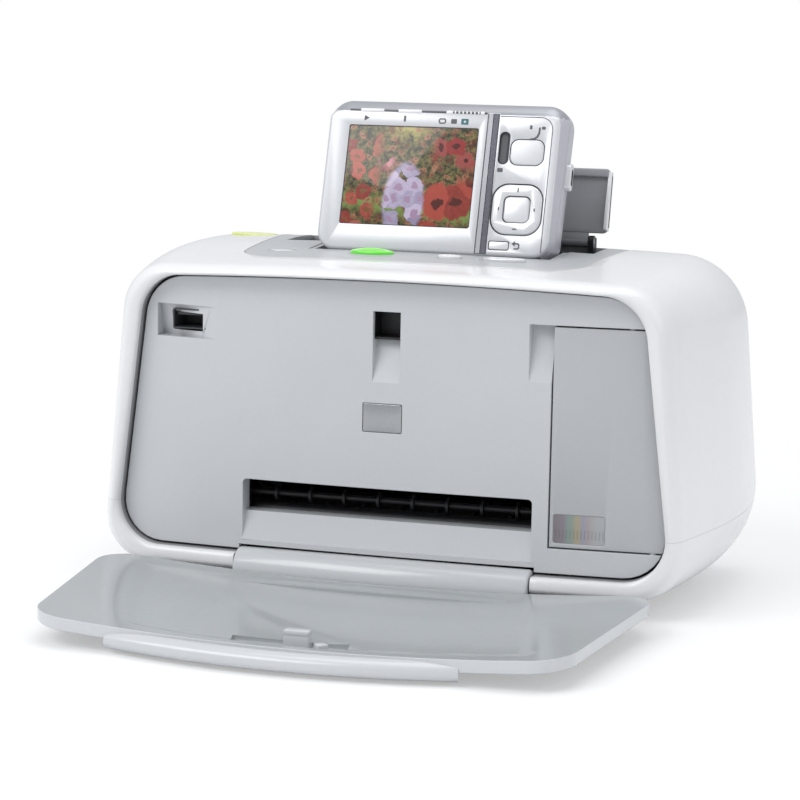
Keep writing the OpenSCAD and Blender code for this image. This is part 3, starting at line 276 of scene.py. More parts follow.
def upright(points, z0, z1):
    """Outline points in X and Y, from height z0 to z1."""
    return loft("upright", [np.array([(p[0], p[1], z) for p in points], float) for z in (z0, z1)])


def rounded(w, h, r, steps=8, at=(0.0, 0.0)):
    r = max(r, 0.01)
    return [(at[0] + sx * (w / 2 - r) + r * math.cos(math.radians(turn + 90 * i / steps)),
             at[1] + sz * (h / 2 - r) + r * math.sin(math.radians(turn + 90 * i / steps)))
            for sx, sz, turn in ((1, 1, 0), (-1, 1, 90), (-1, -1, 180), (1, -1, 270)) for i in range(steps + 1)]


def ellipse(a, b, steps=48, at=(0.0, 0.0)):
    return [(at[0] + a * math.cos(2 * math.pi * i / steps), at[1] + b * math.sin(2 * math.pi * i / steps))
            for i in range(steps)]


def pillow(name, inset, y0, y1, front=0.0, back=0.0, steps=5):
    """A block whose outline, drawn in by inset(g), rounds off over its front and back edges."""
    rings = []
    if front:
        rings += [turned_to(inset(front * (1 - math.sin(math.radians(90 * i / steps)))),
                            y0 + front * (1 - math.cos(math.radians(90 * i / steps)))) for i in range(steps)]
    rings += [turned_to(inset(0), y0 + front), turned_to(inset(0), y1 - back)]
    if back:
        rings += [turned_to(inset(back * (1 - math.cos(math.radians(90 * i / steps)))),
                            y1 - back + back * math.sin(math.radians(90 * i / steps)))
                  for i in range(1, steps + 1)]
    return loft(name, rings)


def settle_mesh(piece):
    """The piece's mesh as its live modifiers leave it."""
    graph = bpy.context.evaluated_depsgraph_get()
    result = bpy.data.meshes.new_from_object(piece.evaluated_get(graph))
    old, piece.data = piece.data, result
    piece.modifiers.clear()
    bpy.data.meshes.remove(old)
    return piece


def combine(piece, tools, operation="DIFFERENCE"):
    """Cuts, joins or clips the piece with closed tools, which are used up."""
    for tool in tools:
        step = piece.modifiers.new("cut", "BOOLEAN")
        step.operation, step.solver, step.object = operation, "EXACT", tool
        settle_mesh(piece)
        bpy.data.objects.remove(tool)
    return piece


def joined(name, pieces):
    """Puts several pieces' meshes into one piece, with no cutting."""
    bm = bmesh.new()
    for piece in pieces:
        bm.from_mesh(piece.data)
        bpy.data.objects.remove(piece)
    mesh = bpy.data.meshes.new(name)
    bm.to_mesh(mesh)
    bm.free()
    return new_object(name, mesh)


def soften(piece, width, steps=2, angle=45.0, where=None):
    """Rounds the piece's sharp edges, all of them or those for which where(middle) holds."""
    def work(bm):
        bmesh.ops.remove_doubles(bm, verts=bm.verts, dist=0.002)
        sharp = [e for e in bm.edges if len(e.link_faces) == 2 and e.calc_face_angle(0) > math.radians(angle)
                 and (where is None or where((e.verts[0].co + e.verts[1].co) / 2))]
        bmesh.ops.bevel(bm, geom=sharp, offset=width, segments=steps, profile=0.5, affect="EDGES",
                        clamp_overlap=True)
    return edit(piece, work)


def slice_up(piece, step, low, high, axis=0):
    """Adds cuts across the piece every step, so that it can bend."""
    def work(bm):
        normal = Vector([1.0 if i == axis else 0.0 for i in range(3)])
        for i in range(int((high - low) / step) + 1):
            bmesh.ops.bisect_plane(bm, geom=bm.verts[:] + bm.edges[:] + bm.faces[:], dist=0.0005,
                                   plane_co=normal * (low + i * step), plane_no=normal)
    return edit(piece, work)


def shift(piece, rule):
    """Moves each point of the piece by rule(x, y, z)."""
    count = len(piece.data.vertices)
    flat = np.empty(count * 3)
    piece.data.vertices.foreach_get("co", flat)
    moved = np.array([rule(*p) for p in flat.reshape(-1, 3)])
    piece.data.vertices.foreach_set("co", moved.ravel())
    piece.data.update()
    return piece


def laid_across(piece):
    """Turns a form that was built along Y so that it runs along X."""
    return outward(shift(piece, lambda x, y, z: (y, x, z)))


def bend(piece, step=4.0):
    """Gives a flat plate the bow of the printer's face."""
    slice_up(piece, step, -108, 108)
    return shift(piece, lambda x, y, z: (x, y + BOW * x * x, z))


def turn(piece, matrix):
    piece.data.transform(matrix)
    piece.data.update()
    return piece


def paint(piece, finish, where):
    """Gives a finish to the faces for which where(middle, normal) holds."""
    if not piece.data.materials:
        piece.data.materials.append(None)
    piece.data.materials.append(finish)
    index = len(piece.data.materials) - 1
    for face in piece.data.polygons:
        if where(face.center, face.normal):
            face.material_index = index
    return piece


def done(piece, name, body, finish, replaces=(), slot=None, sharp=35.0):
    """Finishes a piece: real size and place, shading, finish, body and the nodes that it stands for."""
    piece.name = piece.data.name = name
    if finish is not None:
        if piece.data.materials:
            piece.data.materials[0] = finish
        else:
            piece.data.materials.append(finish)
    piece.data.transform(Matrix.Scale(0.001, 4) @ Matrix.Translation((0, RING_AT, 0)))
    piece.data.shade_smooth()
    piece.data.set_sharp_from_angle(angle=math.radians(sharp))
    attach(piece, body)
    if replaces:
        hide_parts(*replaces)
    return piece


# ---------------------------------------------------------------- casing form

BOTTOM_N, LOWER_N, SIDE_N, UPPER_N, TOP_N = 12, 14, 8, 20, 22


def outline(wb, wt, z0, z1, r, dense=True):
    """A trapezoid with round corners and a crowned top, from its lowest middle round by the right."""
    nb, nl, ns, nu, nt = (BOTTOM_N, LOWER_N, SIDE_N, UPPER_N, TOP_N) if dense else (1, 8, 1, 12, 12)
    slope = (wb - wt) / (z1 - z0)
    k, phi = math.hypot(1, slope), math.atan(slope)
    low_x, high_x = wb - slope * r - r * k, wb - slope * (z1 - r - z0) - r * k
    half = [(low_x * i / nb, z0) for i in range(nb)]
    for i in range(nl + 1):
        a = -math.pi / 2 + (math.pi / 2 + phi) * i / nl
        half.append((low_x + r * math.cos(a), z0 + r + r * math.sin(a)))
    start = half[-1]
    end = (high_x + r * math.cos(phi), z1 - r + r * math.sin(phi))
    half += [(start[0] + (end[0] - start[0]) * i / ns, start[1] + (end[1] - start[1]) * i / ns)
             for i in range(1, ns)]
    for i in range(nu + 1):
        a = phi + (math.pi / 2 - phi) * i / nu
        half.append((high_x + r * math.cos(a), z1 - r + r * math.sin(a)))
    half += [(high_x * (1 - i / nt), z1) for i in range(1, nt + 1)]
    half = [(x, z + CROWN * (1 - (x / wb) ** 2) * ((z - z0) / (z1 - z0)) ** 2) for x, z in half]
    return half + [(-x, z) for x, z in half[-2:0:-1]]


def swell(y):
    return math.sin(math.radians(90 * min(1, y / SWELL_Y)))


def fall(y):
    part = min(1.0, max(0.0, (y - SWELL_Y) / (BODY_D - SWELL_Y)))
    return 1 - (1 - part ** 2.6) ** (1 / 2.6)


def nose(y):
    return 0.0 if y >= NOSE_D else NOSE_IN * (1 - math.sqrt(max(0.0, 1 - (1 - y / NOSE_D) ** 2)))


def casing_ring(y, g):
    side = SIDE_SWELL * swell(y) - BACK_IN * fall(y) - nose(y) - g
    up = TOP_RISE * swell(y) - BACK_IN * fall(y) - nose(y) - g
    down = nose(y) + g + BACK_LIFT * fall(y)
    pts = outline(RING_HALF + side, RING_TOP_HALF + side, BASE_Z + down, RING_TOP + up,
                  RING_R + (BACK_R - RING_R) * y / BODY_D - min(g, 3))
    return np.array([(x, y + BOW * x * x * (1 - y / BODY_D), z) for x, z in pts])


def face_outline(g, dense=True):
    return outline(FACE_HALF - g, FACE_TOP_HALF - g, FACE_Z0 + g, FACE_Z1 - g, FACE_R - g, dense)


def face_ring(y, g=0.0):
    return np.array([(x, y + BOW * x * x * (1 - y / BODY_D), z) for x, z in face_outline(g)])


def top_z(x, y):
    """Height of the casing's outer surface above a place on its top."""
    up = TOP_RISE * swell(y) - BACK_IN * fall(y)
    return RING_TOP + up + CROWN * (1 - (x / (RING_HALF + SIDE_SWELL * swell(y))) ** 2)


BODY_STATIONS = [7, 9.5, 13, 18, 25, 33, 42, 51, 60, 69, SWELL_Y]
BACK_STATIONS = [SWELL_Y + (BODY_D - SWELL_Y) * math.sin(math.radians(90 * i / 14)) ** (2 / 2.6)
                 for i in range(1, 15)]


def casing_skin():
    """The casing as one closed wall: nose of the ring, body, back, and its inside."""
    rings = [casing_ring(NOSE_D * (1 - math.cos(math.radians(90 * i / 9))), 0) for i in range(9)]
    rings += [casing_ring(y, 0) for y in BODY_STATIONS + BACK_STATIONS]
    rings.append(np.array([(x, BODY_D, z) for x, y, z in casing_ring(BODY_D, 1.5)]))
    inner = [casing_ring(y, WALL) for y in [9.2, 20, 40, 60, SWELL_Y, 92, 101, 107, 110.5, 112.6]]
    opening = [face_ring(9.2)] + [face_ring(y) for y in (6.5, 4.0)]
    apex = casing_ring(0, 0)
    wall = face_ring(1.9)
    opening += [np.array([(w[0] + (a[0] - w[0]) * (1 - math.cos(math.radians(t))),
                           w[1] + (a[1] - w[1]) * math.sin(math.radians(t)),
                           w[2] + (a[2] - w[2]) * (1 - math.cos(math.radians(t))))
                          for w, a in zip(wall, apex)]) for t in (0, 12, 24, 36, 48, 60, 72, 82)]
    chain = inner[::-1] + opening + rings
    return loft("casing", chain)


def casing_slab(g0, g1, stations):
    """A closed layer of the casing form, from g0 to g1 under its surface."""
    return loft("slab", [casing_ring(y, g0) for y in stations] + [casing_ring(y, g1) for y in stations[::-1]],
                closed=True)


def deck_outline(g):
    """The deck in plan, drawn in by g: round at the front, a little wider at the back."""
    w, y0, y1, back = DECK_HALF - g, DECK_Y0 + g, DECK_Y1 - g, DECK_HALF - g + 4
    half = [(w - DECK_R + DECK_R * math.cos(math.radians(-90 + 80 * i / 12)),
             y0 + DECK_R + DECK_R * math.sin(math.radians(-90 + 80 * i / 12))) for i in range(13)]
    half += [(back, y1 - 6), (back - 1.8, y1 - 1.8), (back - 6, y1)]
    front = [(x, y0) for x in (12, 24, 36) if x < half[0][0] - 4]
    half = front + half
    return half + [(-x, y) for x, y in half[::-1]]


# ---------------------------------------------------------------- finishes

# Each: name, colour as seen on screen, roughness, grains per metre, their depth in mm, change of tone
WHITE = moulded("gloss_white_plastic", (0.915, 0.915, 0.92), 0.26, 700, 0.006, 0.012, coat=0.25, smudge=0.05)
# Painted shade: a darker grey for the ring's inner wall round the recessed face
RING_WALL_SHADE = moulded("ring_wall_painted_shade", (0.62, 0.62, 0.63), 0.35, 900, 0.006, 0.02)
FACE = moulded("satin_face_grey", (0.80, 0.81, 0.82), 0.42, 1500, 0.012, 0.015)
DOOR = moulded("satin_door_grey", (0.735, 0.745, 0.755), 0.38, 1500, 0.012, 0.015)
TRAY = moulded("gloss_tray_grey", (0.66, 0.675, 0.685), 0.24, 800, 0.006, 0.02, coat=0.3)
# Pale grey of the tray's lip, hinge bar and hook; also a painted highlight on the tray's bevelled edge faces
RIM_AND_SHEEN = moulded("pale_rim_and_painted_sheen", (0.80, 0.81, 0.82), 0.25, 800, 0.006, 0.015, coat=0.3)
DECK = moulded("satin_deck_grey", (0.715, 0.725, 0.735), 0.36, 1400, 0.014, 0.02)
LID = moulded("lid_inside_grey", (0.60, 0.605, 0.62), 0.34, 1200, 0.014, 0.03)
BLACK = moulded("inner_black_plastic", (0.105, 0.105, 0.115), 0.42, 1100, 0.02, 0.12)
GLOSS_BLACK = moulded("gloss_black_plastic", (0.05, 0.05, 0.055), 0.14, 900, 0.004, 0.1)
RUBBER = moulded("rubber_black", (0.12, 0.12, 0.12), 0.72, 1600, 0.03, 0.15, smudge=0.15)
CAM_SILVER = moulded("camera_satin_silver", (0.83, 0.835, 0.85), 0.33, 2200, 0.006, 0.02, metal=0.25)
CAM_SIDE = moulded("camera_side_silver", (0.77, 0.77, 0.80), 0.34, 2200, 0.006, 0.02, metal=0.2)
CAM_TOP = moulded("camera_top_grey", (0.66, 0.67, 0.69), 0.32, 2200, 0.006, 0.03, metal=0.4)
KEY_SILVER = moulded("key_silver", (0.87, 0.875, 0.885), 0.22, 2000, 0.004, 0.02, metal=0.3, coat=0.2)
# Dark grey of printed marks, fine outlines and the band groove; also painted shade in the camera's thumb dish, pad
# recess and eyelet hole
DARK_MARKS_AND_SHADE = moulded("dark_marks_and_painted_shade", (0.32, 0.325, 0.345), 0.35, 1500, 0.01, 0.06)


def lit_lens(name, core, rim, glow):
    """Clear coloured lens with a soft light behind its middle."""
    material, w = start_finish(name)
    place = w.node("ShaderNodeTexCoord", out="Object")
    cloud = w.noise(place, 220.0, 3.0)
    fine = w.noise(place, 1500.0, 2.0)
    facing = w.node("ShaderNodeLayerWeight", {}, {"Blend": 0.35}, out="Facing")
    base = (facing * 0.8 + cloud * 0.3).band(0.2, 0.8).tint(rgba(core), rgba(rim))
    bump = w.bump(fine, 0.4, 0.000004)
    end_finish(w, {"Base Color": base, "Roughness": cloud * 0.1 + 0.14, "Normal": bump, "Coat Weight": 0.5,
                   "Emission Color": base, "Emission Strength": glow})
    return material


def garden_picture(name):
    """The screen's picture: a flower bed, with blooms laid out by Voronoi cells over the screen's own map."""
    material, w = start_finish(name)
    uv = w.node("ShaderNodeUVMap", {"uv_map": "picture"}, out="UV")
    wide = w.node("ShaderNodeMapping", {}, {"Vector": uv, "Scale": (1.33, 1.0, 1.0)})
    across = w.node("ShaderNodeSeparateXYZ", {}, {"Vector": wide}, out="X")
    up = across.beside("Y")
    shake = w.noise(wide, 7.0, 6.0, Roughness=0.7)
    leaf = w.noise(wide, 16.0, 5.0, Roughness=0.75)
    picture = leaf.band(0.36, 0.66).tint(rgba((0.09, 0.13, 0.09)), rgba((0.46, 0.42, 0.25)))
    glade = (1 - abs(up + across * 0.1 + shake * 0.22 - 0.36) * 9).band(0.0, 0.8)
    picture = glade.tint(picture, rgba((0.44, 0.52, 0.27)))
    sky = ((up + shake * 0.5 - 1.08) * 7).band(0.0, 1.0) * (1 - (abs(across - 0.62) * 3.2).band(0.0, 1.0))
    picture = sky.tint(picture, rgba((0.66, 0.62, 0.36)))
    jolt = w.node("ShaderNodeVectorMath", {"operation": "SCALE"}, {
        0: w.noise(wide, 9.0, 4.0, out="Color"),
        "Scale": 0.16})
    moved = w.node("ShaderNodeVectorMath", {"operation": "ADD"}, {0: wide, 1: jolt})

    def blooms(picture, scale, size, shift_, low, high, middle, region):
        laid = w.node("ShaderNodeVectorMath", {"operation": "ADD"}, {0: moved, 1: shift_})
        cell = w.node("ShaderNodeTexVoronoi", {"voronoi_dimensions": "2D"}, {"Vector": laid, "Scale": scale},
                      out="Distance")
        pick = w.node("ShaderNodeSeparateColor", {}, {0: cell.beside("Color")}, out=0)
        petal = (1 - (cell - size) * 14).band(0.0, 1.0) * region
        tone = (pick * 0.55 + leaf * 0.6).band(0.25, 0.85).tint(rgba(low), rgba(high))
        picture = petal.tint(picture, tone)
        eye = (1 - (cell - size * 0.28) * 20).band(0.0, 1.0) * region
        return eye.tint(picture, rgba(middle))

    everywhere = (leaf * 2.4 - 0.55).band(0.0, 1.0)
    picture = blooms(picture, 9.0, 0.26, (0.2, 0.7, 0), (0.30, 0.13, 0.09), (0.62, 0.42, 0.32), (0.30, 0.22, 0.14),
                     everywhere)
    left_red = (1 - (across - 0.30 + shake * 0.1) * 6).band(0.0, 1.0)
    picture = blooms(picture, 5.2, 0.34, (0.9, 0.1, 0), (0.45, 0.12, 0.11), (0.66, 0.34, 0.28), (0.45, 0.30, 0.18),
                     left_red)
    right_low = ((across - 0.80 + shake * 0.12) * 7).band(0.0, 1.0) * (1 - (up - 0.40) * 7).band(0.0, 1.0)
    picture = blooms(picture, 2.6, 0.42, (0.45, 0.62, 0), (0.42, 0.15, 0.13), (0.62, 0.27, 0.22), (0.30, 0.13, 0.11),
                     right_low)
    right_high = ((across - 0.84) * 8).band(0.0, 1.0) * ((up - 0.52) * 8).band(0.0, 1.0)
    picture = blooms(picture, 4.0, 0.36, (0.1, 0.37, 0), (0.52, 0.14, 0.14), (0.56, 0.30, 0.28), (0.28, 0.10, 0.10),
                     right_high)
    off_x, off_y = across - 0.63, up - 0.24
    heap = (off_x * off_x * 7.0 + off_y * off_y * 2.0).root()
    pale = (1 - (heap + shake * 0.22 - 0.60) * 9).band(0.0, 1.0)
    picture = blooms(picture, 6.4, 0.62, (0.55, 0.2, 0), (0.52, 0.49, 0.60), (0.72, 0.67, 0.76), (0.60, 0.50, 0.60),
                     pale)
    top_pink = (1 - (abs(across - 0.42) * 8)).band(0.0, 1.0) * (1 - abs(up - 0.66) * 7).band(0.0, 1.0)
    picture = blooms(picture, 5.0, 0.42, (0.3, 0.33, 0), (0.72, 0.32, 0.44), (0.90, 0.62, 0.66), (0.74, 0.24, 0.40),
                     top_pink)
    rim_x = ((abs(across - 0.665) - 0.652) * 110).band(0.0, 1.0)
    rim_y = ((abs(up - 0.5) - 0.487) * 110).band(0.0, 1.0)
    picture = rim_x.most(rim_y).tint(picture, rgba((0.16, 0.15, 0.15)))
    end_finish(w, {"Base Color": picture, "Roughness": leaf * 0.06 + 0.22, "Coat Weight": 0.35,
                   "Emission Color": picture, "Emission Strength": 0.14, "Specular IOR Level": 0.3})
    return material


def label_print(name, low, high):
    """Foil label with a soft run of ink colours from left to right and a band of fine dark lines."""
    material, w = start_finish(name)
    place = w.node("ShaderNodeTexCoord", out="Object")
    x = w.node("ShaderNodeSeparateXYZ", {}, {"Vector": place}, out="X")
    z = x.beside("Z")
    along = ((x * 1000 - low) / (high - low)).band(0.0, 1.0)
    inks = [(0.00, (0.50, 0.47, 0.49)), (0.16, (0.54, 0.50, 0.54)), (0.26, (0.52, 0.59, 0.57)),
            (0.42, (0.56, 0.61, 0.56)), (0.52, (0.66, 0.62, 0.52)), (0.64, (0.66, 0.62, 0.56)),
            (0.72, (0.60, 0.61, 0.67)), (0.86, (0.66, 0.62, 0.63)), (1.00, (0.68, 0.69, 0.70))]
    run = w.node("ShaderNodeValToRGB", {"stops": [(p, rgba(c)) for p, c in inks]}, {0: along}, out="Color")
    bars = w.node("ShaderNodeTexWave", {"wave_type": "BANDS", "bands_direction": "X"},
                  {"Vector": place, "Scale": 240.0}, out="Color")
    low_part = (abs(z * 1000 - 29.6) - 1.5).band(0.0, 0.3)
    dark = ((bars - 0.62) * 6).band(0.0, 1.0) * (1 - low_part) * 0.3
    base = dark.tint(run, rgba((0.34, 0.33, 0.36)))
    fine = w.noise(place, 1200.0, 2.0)
    bump = w.bump(fine, 0.4, 0.000006)
    end_finish(w, {"Base Color": base, "Roughness": fine * 0.2 + 0.25, "Normal": bump, "Coat Weight": 0.2})
    return material


GREEN = lit_lens("green_lit_lens", (0.36, 0.80, 0.22), (0.62, 0.90, 0.48), 0.25)
LIME = lit_lens("lime_lit_lens", (0.80, 0.84, 0.36), (0.88, 0.90, 0.66), 0.12)
PICTURE = garden_picture("screen_flower_bed")
LABEL = label_print("ink_label_foil", 62.0, 79.0)
TEAL = moulded("teal_print", (0.16, 0.42, 0.44), 0.4, 1500, 0.004, 0.08)
PORT_GREY = moulded("port_body_grey", (0.24, 0.245, 0.26), 0.4, 1300, 0.012, 0.1)
BOARD = moulded("board_green", (0.10, 0.26, 0.16), 0.45, 900, 0.02, 0.2)
STEEL = brushed("brushed_steel", (0.70, 0.71, 0.72), rough=0.3)
PALE_CHROME = brushed("pale_chrome", (0.58, 0.58, 0.60), rough=0.34, across=(1, 1, 0.05))
CHROME = brushed("dark_chrome", (0.42, 0.42, 0.45), rough=0.28, across=(1, 1, 0.05))
SHAFT = brushed("ground_steel_rod", (0.62, 0.63, 0.65), rough=0.24, across=(0.05, 1, 1))


# ---------------------------------------------------------------- casing shells

shell = casing_skin()
notch_half = TONGUE_HALF + 0.5
SILL_Z = 16.6             # lower edge of the face above the tray's hinge bar
combine(shell, [block(-notch_half - 5.2, notch_half + 5.2, 3.3, 9.9, -1, 11.5),
                block(-notch_half, notch_half, -9, 14.9, -1, SILL_Z)])

top = new_object("top_shell_skin", shell.data.copy())
combine(shell, [block(-200, 200, -50, 200, SEAM_Z - 0.03, 300)])
for x in (-90, 90):
    combine(shell, [upright(ellipse(3.1, 3.1, 32, (x, 99)), -1, 10.4)])
combine(shell, [block(*xs, 99, 124, low, 31) for xs, low in zip(REAR_SOCKETS, (19, 20))])
soften(shell, 0.22, 1, 50, lambda p: p.z > SEAM_Z - 0.04)
soften(shell, 0.5, 2, 50, lambda p: p.y < 16 and abs(p.x) < notch_half + 5.3 and p.z < 17 and p.y > -1)


def inner_wall(c, n):
    """Faces of the ring that look in on the front face; they get painted shade."""
    to_middle = Vector((-c.x * 0.6, 0, 64 - c.z)).normalized()
    return 3.4 < c.y - BOW * c.x ** 2 < 9.4 and n.y < 0.4 and n.dot(to_middle) > 0.35


# Painted shade on the ring's inner wall
paint(shell, RING_WALL_SHADE, inner_wall)
done(shell, "base_shell_skin", "root", WHITE, ["base_shell"], "base_shell")

combine(top, [block(-200, 200, -50, 200, -5, SEAM_Z + 0.03), upright(deck_outline(0), 90, 160)]
        + [block(*xs, 99, 124, 29, high) for xs, high in zip(REAR_SOCKETS, (33, 32))]
        + [upright(ellipse(9.9, 4.4, 48, POWER_AT), 100, 160)])
soften(top, 0.22, 1, 50, lambda p: p.z < SEAM_Z + 0.04)
soften(top, 0.35, 2, 50, lambda p: p.z > 100 and p.y > 12)
ledge = casing_slab(DECK_T + 0.1, DECK_T + 1.7, [15, 30, 50, 70, 79, 90, 100, 107, 110.5])
combine(ledge, [upright(deck_outline(-1.6), 100, 140)], "INTERSECT")
combine(ledge, [upright(deck_outline(2.6), 90, 160)])
# Painted shade on the ring's inner wall
top = paint(joined("top", [top, ledge]), RING_WALL_SHADE, inner_wall)
done(top, "top_shell_skin", "root", WHITE, ["top_shell"], "top_shell")


# ---------------------------------------------------------------- front face

def wedge(corners, depths, front=FACE_Y - 1.5):
    """A cutter with its open side in front of the face and its floor at a depth of its own at each corner."""
    n = len(corners)
    points = [(x, front, z) for x, z in corners] + [(x, FACE_Y + d, z) for (x, z), d in zip(corners, depths)]
    faces = [tuple(range(n)), tuple(range(2 * n - 1, n - 1, -1))]
    faces += [(i, (i + 1) % n, n + (i + 1) % n, n + i) for i in range(n)]
    return outward(shape("wedge", points, faces))


def door_line(z):
    return FACE_HALF - (FACE_HALF - FACE_TOP_HALF) * (z - FACE_Z0) / (FACE_Z1 - FACE_Z0)


panel = prism(face_outline(0.85, dense=False), FACE_Y, FACE_Y + PANEL_T)
combine(panel, [
    block(-OUTLET_HALF - 1.6, OUTLET_HALF + 1.6, FACE_Y + 1, 13.8, OUTLET_Z0 - 1.4, OUTLET_Z1 + 1.4),
    block(-LATCH_HALF - 1.4, LATCH_HALF + 1.4, FACE_Y + 1, 14.6, 79, LATCH_Z1 + 1.4),
    block(-90.9, -64.5, FACE_Y + 1, 15.4, 90.8, 105.8),
    block(51, DOOR_X + 0.4, FACE_Y + 1, 13.6, 81.5, 105.6)], "UNION")
combine(panel, [
    prism([(DOOR_X, DOOR_Z0), (120, DOOR_Z0), (120, DOOR_Z1), (DOOR_X, DOOR_Z1)], -5, 30),
    prism(rounded(2 * OUTLET_HALF, OUTLET_Z1 - OUTLET_Z0, 1.6, 6, (0, (OUTLET_Z0 + OUTLET_Z1) / 2)), -5, 30),
    prism([(-LATCH_HALF, LATCH_Z0), (LATCH_HALF, LATCH_Z0), (LATCH_HALF, LATCH_Z1), (-LATCH_HALF, LATCH_Z1)],
          -5, 30),
    wedge([(-LATCH_HALF, 80.2), (LATCH_HALF, 80.2), (LATCH_HALF, LATCH_Z0 + 0.2), (-LATCH_HALF, LATCH_Z0 + 0.2)],
          [0, 0, 6.2, 6.2]),
    wedge([(-89.4, 92.3), (-66, 92.0), (-66, 103.9), (-89.4, 104.3)], [6.6, 0.0, 0.0, 3.4]),
    prism([(-84.6, 94.3), (-71.4, 94.5), (-71.4, 101.0), (-84.6, 101.5)], -5, 30),
    wedge([(52.4, 83.4), (DOOR_X + 1, 83.4), (DOOR_X + 1, DOOR_Z1), (52.4, DOOR_Z1)], [0.0, 0.0, 5.6, 5.6]),
    prism(rounded(14.9, 10.7, 0.6, 3, BADGE_AT), -5, FACE_Y + 0.85),
    block(-notch_half, notch_half, -5, 30, 5, SILL_Z)])
soften(panel, 0.3, 3, 40, lambda p: p.y < FACE_Y + 0.02)
bend(panel)
done(panel, "front_panel_skin", "root", FACE, ["front_panel"], "front_panel", sharp=13)

# Dark pocket behind the latch opening
pocket = block(-5.9, 5.9, 8.6, 18, 95.6, 106.6)
combine(pocket, [block(-5.05, 5.05, 7, 17.2, 96.45, 105.75)])
done(pocket, "latch_pocket", "root", BLACK)

# Sloping sill of the outlet
sill = prism([(-55.2, OUTLET_Z0 - 0.2), (55.2, OUTLET_Z0 - 0.2), (55.2, 28.9), (-55.2, 28.9)], 7.6, 17.6)
shift(sill, lambda x, y, z: (x, y + 3.4 if (z > 25 and y < 10) else y, z))
done(sill, "outlet_sill", "root", FACE, slot="front_panel")

# Dark frame further inside the outlet
inner_frame = block(-57, 57, 13.9, 17.8, 17.2, 43.5)
combine(inner_frame, [block(-54.9, 54.9, 12, 20, 18.0, 41.0)])
done(inner_frame, "outlet_inner_frame", "root", BLACK)

# Bare badge plate
badge = pillow("badge", lambda g: rounded(14.5 - 2 * g, 10.3 - 2 * g, 0.5, 3, BADGE_AT), FACE_Y + 0.15,
               FACE_Y + 0.8, front=0.25, steps=3)
done(bend(badge), "badge_plate_bare", "root", STEEL, ["badge_plate"], "badge_plate")

# ---------------------------------------------------------------- cartridge door

door = prism([(DOOR_X + DOOR_GAP, DOOR_Z0 + DOOR_GAP), (112, DOOR_Z0 + DOOR_GAP), (112, DOOR_Z1 - DOOR_GAP),
              (DOOR_X + DOOR_GAP, DOOR_Z1 - DOOR_GAP)], FACE_Y, FACE_Y + PANEL_T)
combine(door, [prism(face_outline(0.8, dense=False), 0, 20)], "INTERSECT")
combine(door, [prism(rounded(18.6, 10.4, 0.8, 4, LABEL_AT), 0, FACE_Y + 0.3)])
soften(door, 0.35, 3, 40, lambda p: p.y < FACE_Y + 0.02)
bend(door)
door_ribs = [block(DOOR_X + 3, 92, FACE_Y + PANEL_T - 0.2, FACE_Y + PANEL_T + 1.1, z, z + 1.2) for z in (36, 62, 88)]
door_ribs += [block(x, x + 1.2, FACE_Y + PANEL_T - 0.2, FACE_Y + PANEL_T + 1.1, 30, 98) for x in (66, 80)]
door_pins = []
slope = math.atan((FACE_HALF - FACE_TOP_HALF) / (FACE_Z1 - FACE_Z0))
pivot_x = door_line(64.0) - 6.1
pivot = Vector((pivot_x, FACE_Y + BOW * pivot_x ** 2 + 1.8, 64.0))
axis = Matrix.Translation(pivot) @ Matrix.Rotation(-slope, 4, "Y")
for end in (-1, 1):
    pin = upright(ellipse(1.2, 1.2, 24), end * 40.3 - 2.6, end * 40.3 + 2.6)
    door_pins.append(turn(pin, axis))
door = joined("door", [door] + [bend(r) for r in door_ribs] + door_pins)
done(door, "cartridge_door_skin", "door", DOOR, ["cartridge_door"], "cartridge_door")

label = prism(rounded(18.3, 10.1, 0.7, 4, LABEL_AT), FACE_Y + 0.1, FACE_Y + 0.32)
bend(label, 3)


# ---------------------------------------------------------------- output tray

def tray_outline(g):
    """The open tray in plan: the face's outline, laid down about the hinge line."""
    pts = face_outline(0.9 + g, dense=False)
    out = []
    for (xa, za), (xb, zb) in zip(pts, pts[1:] + pts[:1]):
        if (za >= TRAY_Z0) != (zb >= TRAY_Z0):
            part = (TRAY_Z0 - za) / (zb - za)
            out.append((xa + (xb - xa) * part, HINGE_Y - (TRAY_Z0 - HINGE_Z)))
        if zb >= TRAY_Z0:
            out.append((xb, HINGE_Y - (zb - HINGE_Z)))
    return out


TRAY_TOP = HINGE_Z - 0.5
TRAY_EDGE = HINGE_Y - (FACE_Z1 + CROWN - 0.9 - HINGE_Z)      # far edge at the middle


def ease(t):
    t = min(1.0, max(0.0, t))
    return t * t * (3 - 2 * t)


STEP_LINE = [(-3.7, -92.6), (-28.1, -85.7), (-47, -80.0), (-65.7, -73.8), (-80, -67.5), (-89.9, -62.0),
             (-97.0, -53.0)]


def step_x(y):
    """Where the soft step down to the tray's middle runs, at depth y."""
    for (y0, x0), (y1, x1) in zip(STEP_LINE, STEP_LINE[1:]):
        if y >= y1:
            return x0 + (x1 - x0) * (y - y0) / (y1 - y0)
    return STEP_LINE[-1][1]


def tray_height(x, y):
    """How far the tray's upper face lies below its rim."""
    left = ease((x - step_x(y)) / 9.0)
    right = ease((57.0 + (-1 - y) * 0.26 - x) / 4.0)
    sunk = 1.5 * left * right
    back = ease((-y - 0.5) / 5.0)
    front = ease((y - TRAY_EDGE - 5.0 - 0.0009 * x * x) / 5.0)
    # central wedge, a little deeper towards the front middle
    wedge_line = -36.6 - (x + 40.7) * 0.86 if x < -28 else -47.5 - (x + 28.2) * 0.81
    deeper = 0.5 * ease((wedge_line - y) / 6.0) * ease((x + 49.0) / 4.0) * ease((50.0 - x) / 8.0)
    return (sunk + deeper * left) * back * front


